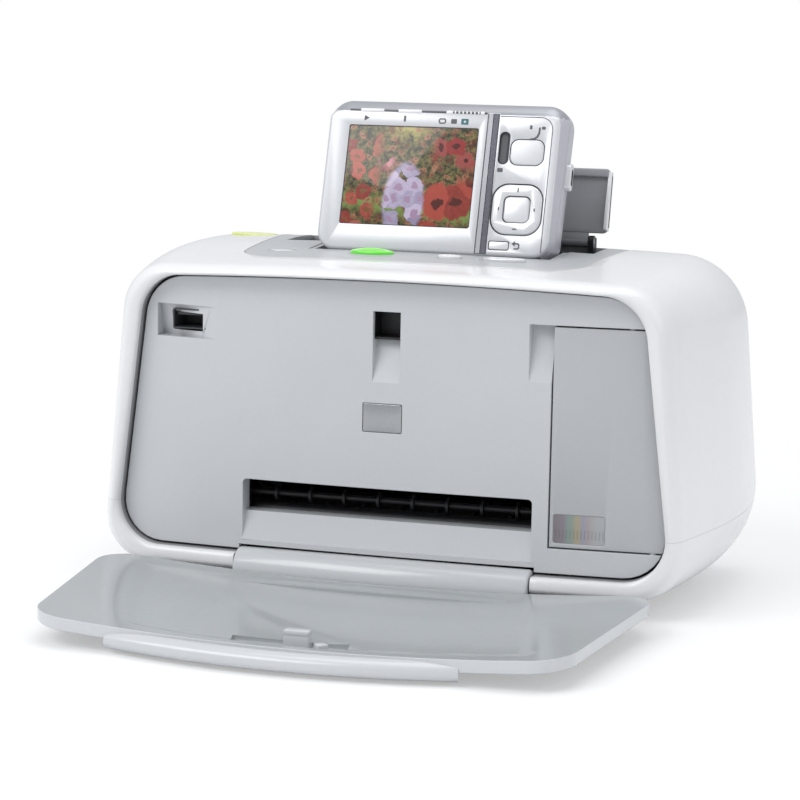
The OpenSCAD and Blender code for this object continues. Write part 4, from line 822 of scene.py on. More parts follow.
tray = upright(tray_outline(0), TRAY_TOP - TRAY_T, TRAY_TOP)
soften(tray, 1.1, 4, 60, lambda p: p.z > TRAY_TOP - 0.1 and p.y < 0)
soften(tray, 2.3, 5, 60, lambda p: p.z < TRAY_TOP - TRAY_T + 0.1 and p.y < -3)
slice_up(tray, 2.0, -106, 106)
slice_up(tray, 2.0, -106, 4, axis=1)
shift(tray, lambda x, y, z: (x, y, z + BOW * x * x - (tray_height(x, y) if z > TRAY_TOP - 0.02 else 0)))
recess = upright([(-24.6, -83.6), (16.6, -83.6), (19.4, -98.0), (-20.6, -98.0)], TRAY_TOP - 3.4, TRAY_TOP + 6)
soften(recess, 0.8, 2, 60)
combine(tray, [recess])

# Round bar about the hinge, cut flat below and behind
bar = loft("bar", [turned_to(ellipse(r, r, 72, (HINGE_Y, HINGE_Z)), x) for x, r in
                   [(-BAR_HALF, 6.9), (-55.2, 7.4), (-54.6, BAR_R), (54.6, BAR_R), (55.2, 7.4), (BAR_HALF, 6.9)]])
laid_across(bar)
combine(bar, [block(-60, 60, -6, HINGE_Y + 2.5, HINGE_Z - 4.6, 20)], "INTERSECT")
tongue = block(-55.3, 55.3, -12, HINGE_Y, HINGE_Z - 4.45, HINGE_Z - 0.9)
soften(tongue, 0.5, 2)

# Hook block in its recess, with the small catch beside it
hook = block(-4.4, 4.4, -90.4, -86.4, TRAY_TOP - 3.6, TRAY_TOP + 2.0)
soften(hook, 0.5, 2)
hook_tip = block(-4.4, 4.4, -90.6, -86.2, TRAY_TOP + 1.5, TRAY_TOP + 3.3)
soften(hook_tip, 0.5, 2)
catch = upright([(6.2, -90.5), (8.9, -88.0), (11.6, -90.5), (8.9, -93.6)], TRAY_TOP - 3.6, TRAY_TOP - 0.2)
soften(catch, 0.4, 2)


def grown(name, inputs, build):
    """A mesh from a Geometry Nodes tree that build adds; inputs are (title, kind, value), the last one the finish."""
    tree = bpy.data.node_groups.new(name, "GeometryNodeTree")
    for title, kind, _ in inputs:
        tree.interface.new_socket(title, in_out="INPUT", socket_type="NodeSocket" + kind)
    tree.interface.new_socket("Geometry", in_out="OUTPUT", socket_type="NodeSocketGeometry")
    w = Wire(tree)
    given = [Wire(tree, s) for s in tree.nodes.new("NodeGroupInput").outputs[:len(inputs)]]
    whole = w.node("GeometryNodeRealizeInstances", {}, {"Geometry": build(w, *given[:-1])})
    dressed = w.node("GeometryNodeSetMaterial", {}, {"Geometry": whole, "Material": given[-1]})
    tree.links.new(dressed.socket, tree.nodes.new("NodeGroupOutput").inputs[0])
    piece = new_object(name, bpy.data.meshes.new(name))
    step = piece.modifiers.new("tree", "NODES")
    step.node_group = tree
    by_name = {s.name: s.identifier for s in tree.interface.items_tree if s.in_out == "INPUT"}
    for title, _, value in inputs:
        step[by_name[title]] = value
    return settle_mesh(piece)


def lip_nodes(w, width, bow_by, height, depth):
    """A rounded bar along a shallow arc, thinner towards its ends."""
    line = w.node("GeometryNodeCurvePrimitiveLine", {}, {
        "Start": w.xyz(X=-width),
        "End": w.xyz(X=width)})
    fine = w.node("GeometryNodeResampleCurve", {}, {"Curve": line, "Count": 72})
    along = w.node("GeometryNodeSplineParameter", out="Factor") * 2 - 1
    drop = bow_by * along * along
    bent = w.node("GeometryNodeSetPosition", {}, {
        "Geometry": fine, "Offset": w.xyz(Y=drop)})
    thin = (1 - abs(along) ** 14.0).root()
    sized = w.node("GeometryNodeSetCurveRadius", {}, {"Curve": bent, "Radius": thin.most(0.12)})
    round_bar = w.node("GeometryNodeCurvePrimitiveCircle", {"mode": "RADIUS"}, {"Resolution": 28, "Radius": 0.5})
    oval_bar = w.node("GeometryNodeTransform", {}, {
        "Geometry": round_bar, "Scale": w.xyz(X=depth, Y=height, Z=1.0)})
    return w.node("GeometryNodeCurveToMesh", {}, {"Curve": sized, "Profile Curve": oval_bar, "Fill Caps": True})


lip = grown("front_lip", (("Half Width", "Float", 60.0), ("Sag", "Float", 8.8), ("Height", "Float", 6.6),
                          ("Thickness", "Float", 8.8), ("Finish", "Material", RIM_AND_SHEEN)), lip_nodes)
turn(lip, Matrix.Translation((-2.6, -106.0, 4.5)))

tray = joined("tray", [tray, tongue])
edge_line = np.array(tray_outline(0))
edge_run = np.roll(edge_line, -1, axis=0) - edge_line


def near_edge(c, reach=2.0):
    """Whether a place on the tray lies close to its outline."""
    gap = np.array((c.x, c.y)) - edge_line
    part = np.clip((gap * edge_run).sum(1) / np.maximum((edge_run ** 2).sum(1), 1e-9), 0, 1)
    return np.hypot(*(gap - part[:, None] * edge_run).T).min() < reach


# Painted highlight: the tray's bevelled edge faces get the paler rim grey
paint(tray, RIM_AND_SHEEN, lambda c, n: c.y < -4 and n.z < 0.93 and n.z > -0.8 and near_edge(c))
done(bar, "tray_hinge_bar", "tray", RIM_AND_SHEEN, slot="output_tray", sharp=40)
done(tray, "tray_plate", "tray", TRAY, ["output_tray"], "output_tray", sharp=40)
done(lip, "tray_front_lip", "tray", RIM_AND_SHEEN, slot="output_tray")
done(joined("hook", [hook, hook_tip, catch]), "tray_hook_block", "tray", RIM_AND_SHEEN, ["tray_hook"], "tray_hook")


# ---------------------------------------------------------------- top deck

def dome(name, a, b, at, low, high, edge=0.6, crown=0.25, steps=56):
    """An oval key: upright wall, rounded rim and a slightly crowned top."""
    rings = [np.array([(x, y, low) for x, y in ellipse(a, b, steps, at)]),
             np.array([(x, y, high - edge) for x, y in ellipse(a, b, steps, at)])]
    for i in range(1, 6):
        t = math.radians(90 * i / 5)
        inset = edge * (1 - math.cos(t))
        rings.append(np.array([(x, y, high - edge + edge * math.sin(t))
                               for x, y in ellipse(a - inset, b - inset, steps, at)]))
    for share in (0.75, 0.5, 0.25, 0.08):
        rings.append(np.array([(x, y, high + crown * (1 - share ** 2))
                               for x, y in ellipse((a - edge) * share, (b - edge) * share, steps, at)]))
    return loft(name, rings)


DOCK = Matrix.Translation((CAM_X, CAM_Y, CAM_Z)) @ Matrix.Rotation(math.radians(-CAM_TILT), 4, "X")
CRADLE_HALF = CAM_W / 2 + 2.2

deck = casing_slab(0.15, DECK_T + 0.15, [12, 18, 25, 33, 42, 51, 60, 69, 79.35, 88, 95, 100, 104, 107, 109, 111])
combine(deck, [upright(deck_outline(0.3), 95, 160)], "INTERSECT")
cradle_cut = turn(block(-CRADLE_HALF - 0.3, CRADLE_HALF + 0.3, 0, CAM_T + 5, -4, 40), DOCK)
combine(deck, [block(-60.4, 60.4, 71.2, 103.0, 90, 140), cradle_cut]
        + [upright(ellipse(a + 0.3, b + 0.3, 48, at), 100, 140)
           for at, a, b in ((WINDOW_AT, 8.4, 3.4), (BUTTON_AT, 4.4, 2.4), (PRINT_AT, 8, 3))])
combine(deck, [upright(ellipse(5.6, 2.5, 40, SPARE_AT), top_z(*SPARE_AT) - 0.9, 160)])
soften(deck, 0.3, 2, 40, lambda p: p.z > 117.5)
done(deck, "deck_plate", "root", DECK, ["dock_deck"], "dock_deck", sharp=25)

spare = dome("spare", 5.1, 2.1, SPARE_AT, top_z(*SPARE_AT) - 1.2, top_z(*SPARE_AT) - 0.2, 0.4)
done(spare, "deck_oval_inlay", "root", KEY_SILVER, slot="dock_deck")
window = dome("window", 8.4, 3.4, WINDOW_AT, top_z(*WINDOW_AT) - 1.6, top_z(*WINDOW_AT) + 0.9, 0.9, 0.9)
done(window, "light_window_lens", "root", None, ["light_window"], "light_window").data.materials.append(GREEN)
done(dome("button", 4.4, 2.4, BUTTON_AT, top_z(*BUTTON_AT) - 2.2, top_z(*BUTTON_AT) + 0.8), "round_menu_key",
     "menu_key", WHITE, ["deck_button"], "deck_button")
done(dome("print", 8.0, 3.0, PRINT_AT, top_z(*PRINT_AT) - 2.2, top_z(*PRINT_AT) + 0.8), "oval_print_key",
     "print_key", KEY_SILVER, ["print_button"], "print_button")
done(dome("power", 9.5, 4.0, POWER_AT, top_z(*POWER_AT) - 2.6, top_z(*POWER_AT) + 0.6), "power_key_lens",
     "power_key", None, ["power_button"], "power_button").data.materials.append(LIME)

# ---------------------------------------------------------------- rear paper lid

LEANED = Matrix.Translation((0, LID_Y, 125.431)) @ Matrix.Rotation(math.radians(-LEAN), 4, "X")
LID_LEFT = -53.0          # the lid's left end, hidden behind the docked camera
lid_w, lid_mid = LID_HALF - LID_LEFT, (LID_HALF + LID_LEFT) / 2
plate = pillow("plate", lambda g: rounded(lid_w - 2 * g, LID_H - 3.2 - 2 * g, 2.2 - g, 5,
                                          (lid_mid, 3.0 + (LID_H - 3.2) / 2)), -2.4, -0.2, 0.3, 0.7, 3)
sides = []
for x0, x1 in ((LID_LEFT, LID_LEFT + 1.3), (LID_HALF - 1.3, LID_HALF)):
    side = loft("side", [np.array([(x, y, z) for y, z in ((-0.3, 4), (-LID_RIM, 4), (-LID_RIM + 0.4, 12),
                                                          (-3.4, LID_H - 1), (-0.3, LID_H - 0.6))])
                         for x in (x0, x1)])
    soften(side, 0.25, 2)
    sides.append(side)
brow = block(LID_LEFT + 1.2, LID_HALF - 1.2, -LID_RIM + 1, -0.4, LID_H - 3.2, LID_H)
soften(brow, 0.6, 3)
knuckles = []
for s in (-1, 1):
    ring = loft("knuckle", [turned_to(ellipse(2.2, 2.2, 28), x) for x in (s * 44 - 8, s * 44 + 8)])
    laid_across(ring)
    arm = block(s * 44 - 8, s * 44 + 8, -2.2, -0.2, 0, 4.2)
    soften(arm, 0.3, 2)
    knuckles += [ring, arm]
lid_inner = joined("lid", [plate, brow] + knuckles)
turn(lid_inner, LEANED)
done(lid_inner, "lid_inner_plate", "lid", LID, ["paper_lid"], "paper_lid")
lid_sides = joined("lid_sides", sides)
turn(lid_sides, LEANED)
done(lid_sides, "lid_side_walls", "lid", WHITE, slot="paper_lid")
cover = pillow("cover", lambda g: rounded(lid_w - 2 * g, LID_H - 3.4 - 2 * g, 2.4 - g, 5,
                                          (lid_mid, 3.2 + (LID_H - 3.4) / 2)), -0.25, 0.1, 0.0, 0.3, 3)
done(turn(cover, LEANED), "lid_outer_skin", "lid", DECK, slot="paper_lid")
rail = block(-53.0, 54.5, 101.95, 102.9, 117.0, 126.6)
soften(rail, 0.3, 2)
done(rail, "lid_root_rail", "root", LID, slot="dock_deck")

# ---------------------------------------------------------------- docked camera

def cam_outline(g, drop=0.0, bulge=0.0):
    """The camera from its screen side, drawn in by g: upper edge lowered by drop, right side out by bulge."""
    pts = rounded(CAM_W - 2 * g, CAM_H - 2 * g, CAM_R - g, 10, (0, CAM_H / 2))
    out = []
    for x, z in pts:
        high = max(0.0, (z - CAM_H * 0.6) / (CAM_H * 0.4))
        wide = max(0.0, (x - 34) / 10) * min(1.0, max(0.0, (z - 4) / 10))
        out.append((x + bulge * wide, z - drop * high ** 3))
    return out


def docked(piece, *told, **more):
    """Finishes a piece of the camera that was built upright, in its leaning place in the dock."""
    return done(turn(piece, DOCK), *told, **more)


def cam_ring(y, g, drop=0.0, bulge=0.0):
    return turned_to(cam_outline(g, drop, bulge), y)


SLOPE = 4.8               # height of the sloping band along the camera's upper edge
FRONT_TOP = CAM_H - SLOPE
back_rings = [
    cam_ring(0.0, 1.25, SLOPE), cam_ring(0.12, 0.75, 0.985 * SLOPE), cam_ring(0.45, 0.33, 0.95 * SLOPE),
    cam_ring(1.0, 0.06, 0.87 * SLOPE), cam_ring(1.6, 0.0, 0.72 * SLOPE, 0.1), cam_ring(2.6, 0.0, 0.46 * SLOPE, 0.4),
    cam_ring(3.6, 0.0, 0.25 * SLOPE, 0.8), cam_ring(4.6, 0.0, 0.09 * SLOPE, 1.2), cam_ring(5.6, 0.0, 0.01, 1.5),
    cam_ring(6.2, 0.0, 0, 1.7), cam_ring(6.38, 0.22, 0, 1.7)]
back = loft("back", back_rings)
PAD_X, PAD_Z, PAD_W, OK_W = CAM_W / 2 - 13.6, 17.7, 19.0, 9.6
SCREEN_X, SCREEN_Z, SCREEN_W, SCREEN_H = -36.6, 9.8, 50.4, 38.2
REVIEW_X, ZOOM_X, ZOOM_Z, DISH_X, DISH_Z = CAM_W / 2 - 19, CAM_W / 2 - 11.8, 39.4, 24.0, 40.8


combine(back, [
    prism(rounded(CAM_W - 4, CAM_H - 4, 6, 8, (0, CAM_H / 2)), 3.4, 9.0),
    prism(rounded(SCREEN_W, SCREEN_H, 0.8, 4, (SCREEN_X + SCREEN_W / 2, SCREEN_Z + SCREEN_H / 2)), -2, 5),
    prism(rounded(PAD_W + 0.6, PAD_W + 0.6, 6.2, 10, (PAD_X, PAD_Z)), -2, 5),
    prism(rounded(7.9, 3.5, 0.8, 4, (REVIEW_X, REVIEW_Z)), -2, 5),
    prism(rounded(13.1, 10.1, 3.2, 8, (ZOOM_X, ZOOM_Z)), -2, 5),
    loft("dish", [turned_to([(x + dx, z) for x, z in rounded(w, h, w * 0.46, 8, (DISH_X, DISH_Z))], y)
                  for y, w, h, dx in ((-1, 4.6, 13.0, 0.2), (0.1, 4.0, 12.4, 0.1), (1.3, 2.6, 10.8, -0.4))]),
    block(STRIP_X - 2.25, STRIP_X + 2.25, -2, 0.8, -2, CAM_H)])
soften(back, 0.18, 2, 50, lambda p: p.y < 1.2)
turn(back, DOCK)
dock_up = (DOCK.to_3x3() @ Vector((0, 0, 1)))
dock_out = (DOCK.to_3x3() @ Vector((0, -1, 0)))
to_camera = DOCK.inverted()
paint(back, CAM_TOP, lambda c, n: (to_camera @ c).z > FRONT_TOP - 0.4 and n.dot(dock_up) > 0.2)
paint(back, CAM_SIDE, lambda c, n: n.dot(dock_out) < 0.55 and (to_camera @ c).z <= FRONT_TOP - 0.4
      and abs((to_camera @ c).x) > CAM_W / 2 - 3)
# Painted shade in the thumb dish left of the zoom rocker
paint(back, DARK_MARKS_AND_SHADE, lambda c, n: abs((to_camera @ c).x - DISH_X) < 2.4 and abs((to_camera @ c).z - DISH_Z) < 7.5
      and (to_camera @ c).y > 0.15)
# Painted shade on the sloping wall round the four-way pad
paint(back, DARK_MARKS_AND_SHADE, lambda c, n: n.dot(dock_out) < 0.6 and abs((to_camera @ c).x - PAD_X) < PAD_W / 2 + 0.6
      and (to_camera @ c).y > 0.1 and 3.0 < (to_camera @ c).y + (to_camera @ c).z < CAM_H - 8)
done(back, "camera_back_skin", "camera", CAM_SILVER, ["camera_back_shell"], "camera_back_shell")

front_rings = [cam_ring(6.55, 0.22, 0, 1.7), cam_ring(6.75, 0.0, 0, 1.8), cam_ring(9.0, 0.0, 0, 2.0),
               cam_ring(12.0, 0.0, 0, 2.0), cam_ring(15.0, 0.0, 0, 1.5)]
for i in range(7):
    t = math.radians(90 * i / 6)
    front_rings.append(cam_ring(16.4 + 3.5 * math.sin(t), 3.6 * (1 - math.cos(t)), 0, 1.2 * (1 - i / 6)))
front = loft("front", front_rings)
combine(front, [prism(rounded(CAM_W - 4, CAM_H - 4, 6, 8, (0, CAM_H / 2)), 5.0, 17.5)]
        + [block(x - 5.25, x + 5.25, 9.0, 13.4, CAM_H - 6, CAM_H + 4) for x in (SHUTTER_X, CAM_POWER_X)]
        + [block(SWITCH_X - 5.75, SWITCH_X + 8.75, 9.0, 13.0, CAM_H - 6, CAM_H + 4), block(-11, 11, 7.2, 13.8, -3, 4)]
        + [prism(ellipse(12.4, 12.4, 64, LENS_AT), 15, 24)])
soften(front, 0.2, 2, 50, lambda p: p.z > CAM_H - 1 or p.z < 1.2 or p.y > 19)
docked(front, "camera_front_skin", "camera", CAM_SIDE, ["camera_front_shell"], "camera_front_shell")

lens_rings = [(12.2, 15.4), (12.2, 19.6), (11.9, 20.3), (11.0, 20.4), (10.2, 20.4), (9.9, 19.4), (8.2, 19.1),
              (7.9, 19.9), (7.2, 19.9), (6.9, 18.8), (4.0, 18.6)]
lens = loft("lens", [turned_to(ellipse(r, r, 64, LENS_AT), y) for r, y in lens_rings])
docked(lens, "camera_lens_barrel", "camera", CHROME, ["camera_lens"], "camera_lens", sharp=25)
glass = loft("glass", [turned_to(ellipse(r, r, 48, LENS_AT), y) for r, y in
                       ((6.8, 18.2), (6.8, 18.9), (5.6, 19.3), (3.6, 19.6), (1.6, 19.75), (0.4, 19.78))])
docked(glass, "camera_lens_glass", "camera", GLOSS_BLACK, slot="camera_lens")
flash = pillow("flash", lambda g: rounded(11 - 2 * g, 6 - 2 * g, 1.2 - g, 4, (12, 44)), 19.2, 20.15, 0, 0.3, 3)
docked(flash, "camera_flash_lens", "camera", KEY_SILVER, slot="camera_front_shell")

screen = pillow("screen", lambda g: rounded(SCREEN_W - 0.2 - 2 * g, SCREEN_H - 0.2 - 2 * g, 0.7 - g, 4,
                                            (SCREEN_X + SCREEN_W / 2, SCREEN_Z + SCREEN_H / 2)), 0.45, 2.8, 0.15, 0, 3)
uv = screen.data.uv_layers.new(name="picture")
for loop in screen.data.loops:
    point = screen.data.vertices[loop.vertex_index].co
    uv.data[loop.index].uv = ((point.x - SCREEN_X) / SCREEN_W, (point.z - SCREEN_Z) / SCREEN_H)
docked(screen, "camera_screen_glass", "camera", None, ["camera_screen"],
       "camera_screen").data.materials.append(PICTURE)

strip = loft("strip", [np.array([(STRIP_X + x, y, z) for x, y in (
    (-2.1, 0.8), (-2.1, 0.1), (-1.8, -0.14), (-0.15, -0.2), (0.0, 0.15), (0.15, 0.15), (0.3, -0.2), (1.8, -0.14),
    (2.1, 0.1), (2.1, 0.8))]) for z in (0.7, 1.2, FRONT_TOP - 0.6, FRONT_TOP - 0.1)])
paint(strip, PALE_CHROME, lambda c, n: c.x < STRIP_X)
docked(strip, "camera_chrome_strip", "camera", CHROME, ["trim_strip"], "trim_strip", sharp=25)


def cam_key(name, x, z, w, h, r, out=0.0, edge=0.5, hollow=None, dish=0.0):
    """A key of the camera, its face proud of the shell by out."""
    key = pillow(name, lambda g: rounded(w - 2 * g, h - 2 * g, r - g, 9, (x, z)), -out, 3.1, edge, 0, 4)
    if hollow:
        combine(key, [prism(hollow, -3, 6)])
        soften(key, 0.2, 2, 50, lambda p: p.y < 0.5)
    return turn(key, DOCK)


done(cam_key("pad", PAD_X, PAD_Z, PAD_W, PAD_W, 6, 0.45, 1.1, rounded(OK_W + 0.7, OK_W + 0.7, 2.2, 6, (PAD_X, PAD_Z))),
     "pad_ring", "pad", KEY_SILVER, ["four_way_pad"], "four_way_pad")
done(cam_key("ok", PAD_X, PAD_Z, OK_W, OK_W, 2, 0.2, 0.6), "ok_square_key", "ok", KEY_SILVER, ["ok_button"],
     "ok_button")
done(cam_key("review", REVIEW_X, REVIEW_Z, 7.4, 3.0, 0.7, 0.2, 0.35), "review_bar_key", "review", KEY_SILVER,
     ["review_button"], "review_button")


zoom = cam_key("zoom", ZOOM_X, ZOOM_Z, 12.6, 9.6, 3.0, 0.15, 0.45)
done(zoom, "zoom_rocker_plate", "zoom", CAM_SILVER, ["zoom_rocker"], "zoom_rocker")

KEY_TOP = CAM_H + 0.8


def row_nodes(w, how_many, step, size):
    """A centred row of blocks along X."""
    row = w.node("GeometryNodeMeshLine", {"mode": "OFFSET"}, {
        "Count": how_many, "Offset": w.xyz(X=step),
        "Start Location": w.xyz(X=(how_many - 1) * step * -0.5)})
    rib = w.node("GeometryNodeMeshCube", {}, {"Size": size})
    return w.node("GeometryNodeInstanceOnPoints", {}, {"Points": row, "Instance": rib})


def ribs(name, count, pitch, size, finish):
    """A row of upright ribs with softened edges."""
    piece = grown(name, (("Count", "Int", count), ("Pitch", "Float", pitch), ("Size", "Vector", size),
                         ("Finish", "Material", finish)), row_nodes)
    return soften(piece, min(size) * 0.25, 2)


def cap(name, x, y0, y1, w, low, high):
    """A flat key on the camera's upper side, rounded over its upper edge."""
    rings = []
    for i in range(5):
        t = math.radians(90 * i / 4)
        g = 0.4 * (1 - math.cos(t))
        rings.append(np.array([(a, b, high - 0.4 + 0.4 * math.sin(t)) for a, b in
                               rounded(w - 2 * g, y1 - y0 - 2 * g, 0.9 - g, 5, (x, (y0 + y1) / 2))]))
    rings.insert(0, np.array([(a, b, low) for a, b in rounded(w, y1 - y0, 0.9, 5, (x, (y0 + y1) / 2))]))
    return loft(name, rings)


for name, node, body, x in (("shutter_key_cap", "shutter_button", "shutter", SHUTTER_X),
                            ("camera_power_key_cap", "camera_power_button", "camera_power", CAM_POWER_X)):
    docked(cap(name, x, 9.25, 13.15, 10, 53.4, KEY_TOP), name, body, KEY_SILVER, [node], node)

switch = cap("switch", SWITCH_X, 9.3, 12.7, 11, 53.4, 56.35)
switch_ribs = ribs("switch_ribs", 7, 1.35, (0.6, 3.0, 0.9), KEY_SILVER)
turn(switch_ribs, Matrix.Translation((SWITCH_X, 11, KEY_TOP - 0.45)))
docked(joined("switch", [switch, switch_ribs]), "mode_switch_slider", "mode", KEY_SILVER, ["mode_switch"],
       "mode_switch")

eyelet = pillow("eyelet", lambda g: rounded(4.8 - 2 * g, 10.4 - 2 * g, 2.3 - g, 8, EYELET_AT), -3.6, 3.4, 0.7, 0, 4)
combine(eyelet, [prism(rounded(2.2, 6.2, 1.0, 6, EYELET_AT), -9, -0.6)])
shift(eyelet, lambda x, y, z: (CAM_W / 2 - y, x, z))
outward(eyelet)
# Painted shade inside the eyelet's hole
paint(eyelet, DARK_MARKS_AND_SHADE, lambda c, n: abs(c.y - EYELET_AT[0]) < 1.2 and abs(c.z - EYELET_AT[1]) < 3.3
      and c.x < CAM_W / 2 + 3.3)
docked(eyelet, "strap_eyelet_ring", "camera", KEY_SILVER, ["strap_eyelet"], "strap_eyelet")

# Row of bars and ribs along the lower edge of the camera's upper slope
bars = []
for x, w in ((-28.2, 9.2), (-13.5, 9.2), (1.9, 2.6), (14.6, 1.6)):
    bar_key = block(x - w / 2, x + w / 2, -0.28, 1.2, FRONT_TOP - 0.7, FRONT_TOP + 0.6)
    soften(bar_key, 0.3, 3)
    bars.append(bar_key)
docked(joined("bars", bars), "camera_band_bars", "camera", WHITE, slot="camera_back_shell")
band = block(-37.0, 16.4, -0.05, 1.0, FRONT_TOP - 0.55, FRONT_TOP + 0.3)
soften(band, 0.15, 2)
docked(band, "camera_band_groove", "camera", DARK_MARKS_AND_SHADE, slot="camera_back_shell")
band_ribs = ribs("camera_band_ribs", 7, 1.5, (0.6, 0.7, 1.1), WHITE)
turn(band_ribs, DOCK @ Matrix.Translation((8.6, 0.05, FRONT_TOP - 0.05)))
done(band_ribs, "camera_band_ribs", "camera", WHITE, slot="camera_back_shell")


def mark(points, y0=-0.07, y1=0.3):
    return prism(points, y0, y1)


def ring_mark(w, h, r, line, at):
    outer = mark(rounded(w, h, r, 6, at))
    combine(outer, [mark(rounded(w - 2 * line, h - 2 * line, max(0.05, r - line), 6, at), -1, 2)])
    return outer


ICON_Z = FRONT_TOP - 3.1
arrow = [(0, 0.9), (1.2, 2.0), (1.2, 1.25), (2.4, 1.25), (3.0, 0.7), (3.0, -0.6), (2.4, -1.2), (0.9, -1.2),
         (0.9, -0.7), (2.2, -0.7), (2.5, -0.4), (2.5, 0.4), (2.2, 0.7), (1.2, 0.7), (1.2, -0.1)]
marks = [mark([(x - 31.0, z + ICON_Z) for x, z in ((0, -1.1), (2.0, 0), (0, 1.1))]),
         mark(rounded(0.8, 2.3, 0.2, 3, (-15.2, ICON_Z + 0.1))),
         ring_mark(2.9, 2.1, 0.8, 0.5, (-0.6, ICON_Z - 0.4)), mark(rounded(2.2, 1.8, 0.3, 3, (3.9, ICON_Z - 0.4))),
         mark(rounded(0.9, 1.5, 0.2, 3, (33.6, 49.0))), mark(rounded(1.4, 1.1, 0.2, 3, (38.4, 48.8))),
         mark(rounded(2.1, 1.5, 0.3, 3, (DISH_X - 0.6, 32.4))),
         mark([(x + REVIEW_X + 4.9, z + REVIEW_Z) for x, z in arrow]),
         mark([(x + ZOOM_X, z + ZOOM_Z) for x, z in ((0.5, 5.3), (2.0, 5.5), (3.0, 6.3), (3.5, 7.6), (3.6, 9.6),
                                                     (4.3, 9.6),
                                                     (4.2, 7.3), (3.6, 5.8), (2.4, 4.9), (0.5, 4.8))])]
docked(joined("marks", marks), "camera_print_marks", "camera", DARK_MARKS_AND_SHADE, slot="camera_back_shell")
teal = mark(rounded(2.8, 2.2, 0.3, 3, (8.1, ICON_Z - 0.4)))
combine(teal, [mark(ellipse(0.5, 0.5, 12, (8.1, ICON_Z - 0.4)), -1, 2)])
docked(teal, "camera_play_mark", "camera", TEAL, slot="camera_back_shell")
pad_marks = [mark(rounded(w, h, 0.15, 3, (PAD_X + dx, PAD_Z + dz)), -0.51, -0.3)
             for dx, dz, w, h in ((0, 7.3, 0.5, 1.7), (0, -7.5, 1.5, 0.5), (-6.8, 0, 0.5, 1.2), (6.8, 0, 0.5, 1.2))]
docked(joined("pad_marks", pad_marks), "pad_print_marks", "pad", DARK_MARKS_AND_SHADE, slot="four_way_pad")

# Fine dark line that frames the camera's key panel on the right
PANEL_END = CAM_W / 2 - 3.0
panel_line = [(STRIP_X + 2.6, FRONT_TOP - 1.0), (PANEL_END - 4.6, FRONT_TOP - 1.0)]
panel_line += [(PANEL_END - 4.6 + 4.6 * math.sin(math.radians(a)), FRONT_TOP - 5.6 + 4.6 * math.cos(math.radians(a)))
               for a in range(15, 91, 15)] + [(PANEL_END, 2.0)]
line_bits = []
for (xa, za), (xb, zb) in zip(panel_line, panel_line[1:]):
    length = math.hypot(xb - xa, zb - za)
    ux, uz = (xb - xa) / length * 0.15, (zb - za) / length * 0.15
    line_bits.append(prism([(xa - uz, za + ux), (xa + uz, za - ux), (xb + uz, zb - ux), (xb - uz, zb + ux)],
                           -0.05, 0.4))
docked(joined("panel_line", line_bits), "camera_panel_outline", "camera", DARK_MARKS_AND_SHADE,
       slot="camera_back_shell")

# ---------------------------------------------------------------- label, sockets and the parts kept from the CAD

done(label, "ink_label_foil", "door", LABEL, ["ink_label"], "ink_label")

KEPT = {
    BLACK: "input_chute chassis platen lift_plate carriage cartridge_latch pinch_rollers output_roller "
           "star_wheels feed_roller pick_roller",
    PORT_GREY: "usb_host_port power_inlet service_station paper_guide ink_cartridge motor_pulley idler_pulley "
               "idler_gear encoder_strip",
    STEEL: "tray_hinge_pins case_screws usb_rear_port carriage_motor paper_motor motor_pinion",
    DECK: "dock_cradle hinge_brackets lid_hinge_pins", RUBBER: "feet drive_belt", SHAFT: "guide_rod",
    BOARD: "main_board",
}
for finish, names in KEPT.items():
    for name in names.split():
        NODES[name].data.materials.clear()
        NODES[name].data.materials.append(finish)


# ---------------------------------------------------------------- stage, light and camera

def lamp(name, at, aim, size, power, size_y=None):
    data = bpy.data.lights.new(name, "AREA")
    data.shape = "RECTANGLE"
    data.size, data.size_y, data.energy = size, size_y or size, power
    made = new_object(name, data)
    made.location = at
    made.rotation_euler = (Vector(aim) - Vector(at)).to_track_quat("-Z", "Y").to_euler()
    return made


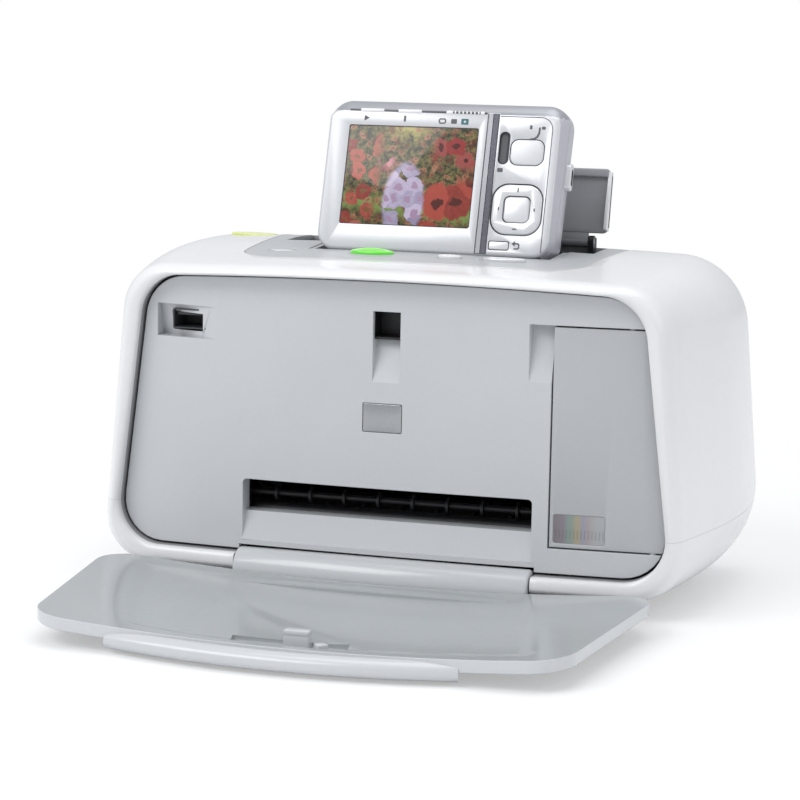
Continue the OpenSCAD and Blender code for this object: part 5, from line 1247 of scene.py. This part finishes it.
floor_finish, w = start_finish("pale_studio_floor")
place = w.node("ShaderNodeTexCoord", out="Object")
mottle = w.noise(place, 5.0, 3.0)
matt = w.node("ShaderNodeBsdfDiffuse", {}, {"Color": mottle.tint(rgba((0.955, 0.955, 0.958)),
                                                                rgba((0.965, 0.965, 0.968)))})
glow = w.node("ShaderNodeEmission", {}, {"Color": (1, 1, 1, 1), "Strength": 1.0})
away = w.node("ShaderNodeVectorMath", {"operation": "LENGTH"}, {0: place}, out="Value")
seen = w.node("ShaderNodeLightPath", out="Is Camera Ray") * (away.band(0.16, 0.52) * 0.6 + 0.4)
w.node("ShaderNodeOutputMaterial", {}, {"Surface": w.node("ShaderNodeMixShader", {}, {0: seen, 1: matt, 2: glow})})
floor = shape("floor", [(-6, -6, 0), (6, -6, 0), (6, 6, 0), (-6, 6, 0)], [(0, 1, 2, 3)])
floor.data.materials.append(floor_finish)

world = bpy.data.worlds.new("studio")
bpy.context.scene.world = world
world.use_nodes = True
world.node_tree.nodes.clear()
w = Wire(world.node_tree)
path = world.node_tree.nodes.new("ShaderNodeLightPath")
direct = Wire(world.node_tree, path.outputs["Is Camera Ray"])
soft = w.node("ShaderNodeBackground", {}, {"Color": (0.95, 0.97, 1.0, 1), "Strength": 0.62})
plain = w.node("ShaderNodeBackground", {}, {"Color": (1, 1, 1, 1), "Strength": 1.0})
w.node("ShaderNodeOutputWorld", {}, {"Surface": w.node("ShaderNodeMixShader", {}, {0: direct, 1: soft, 2: plain})})

lamp("key_softbox", (-0.9, -1.1, 1.5), (0, 0.03, 0.08), 1.3, 16.0, 0.9)
lamp("top_softbox", (0.1, 0.2, 1.6), (0, 0.05, 0.1), 1.2, 9.0)
lamp("right_strip", (1.5, -0.3, 0.9), (0.05, 0.03, 0.07), 0.5, 2.0, 1.2)

camera = bpy.data.cameras.new("photo_camera")
camera.sensor_width = 36.0
camera.lens = camera.sensor_width * FOCAL_PX / PHOTO_PX
camera.shift_x = (PHOTO_PX / 2 - CENTRE_PX[0]) / PHOTO_PX
camera.shift_y = (CENTRE_PX[1] - PHOTO_PX / 2) / PHOTO_PX
camera.clip_end = 50.0
viewer = new_object("photo_camera", camera)
az, el, roll = (math.radians(a) for a in AZ_EL_ROLL)
back_dir = Vector((math.sin(az) * math.cos(el), -math.cos(az) * math.cos(el), math.sin(el)))
side_dir = Vector((math.cos(az), math.sin(az), 0))
up_dir = back_dir.cross(side_dir)
across = side_dir * math.cos(roll) + up_dir * math.sin(roll)
upward = up_dir * math.cos(roll) - side_dir * math.sin(roll)
viewer.matrix_world = (Matrix.Translation((EYE[0], EYE[1] + RING_AT * 0.001, EYE[2]))
                       @ Matrix((across, upward, back_dir)).transposed().to_4x4())
bpy.context.scene.camera = viewer
bpy.context.scene.view_settings.view_transform = "Standard"
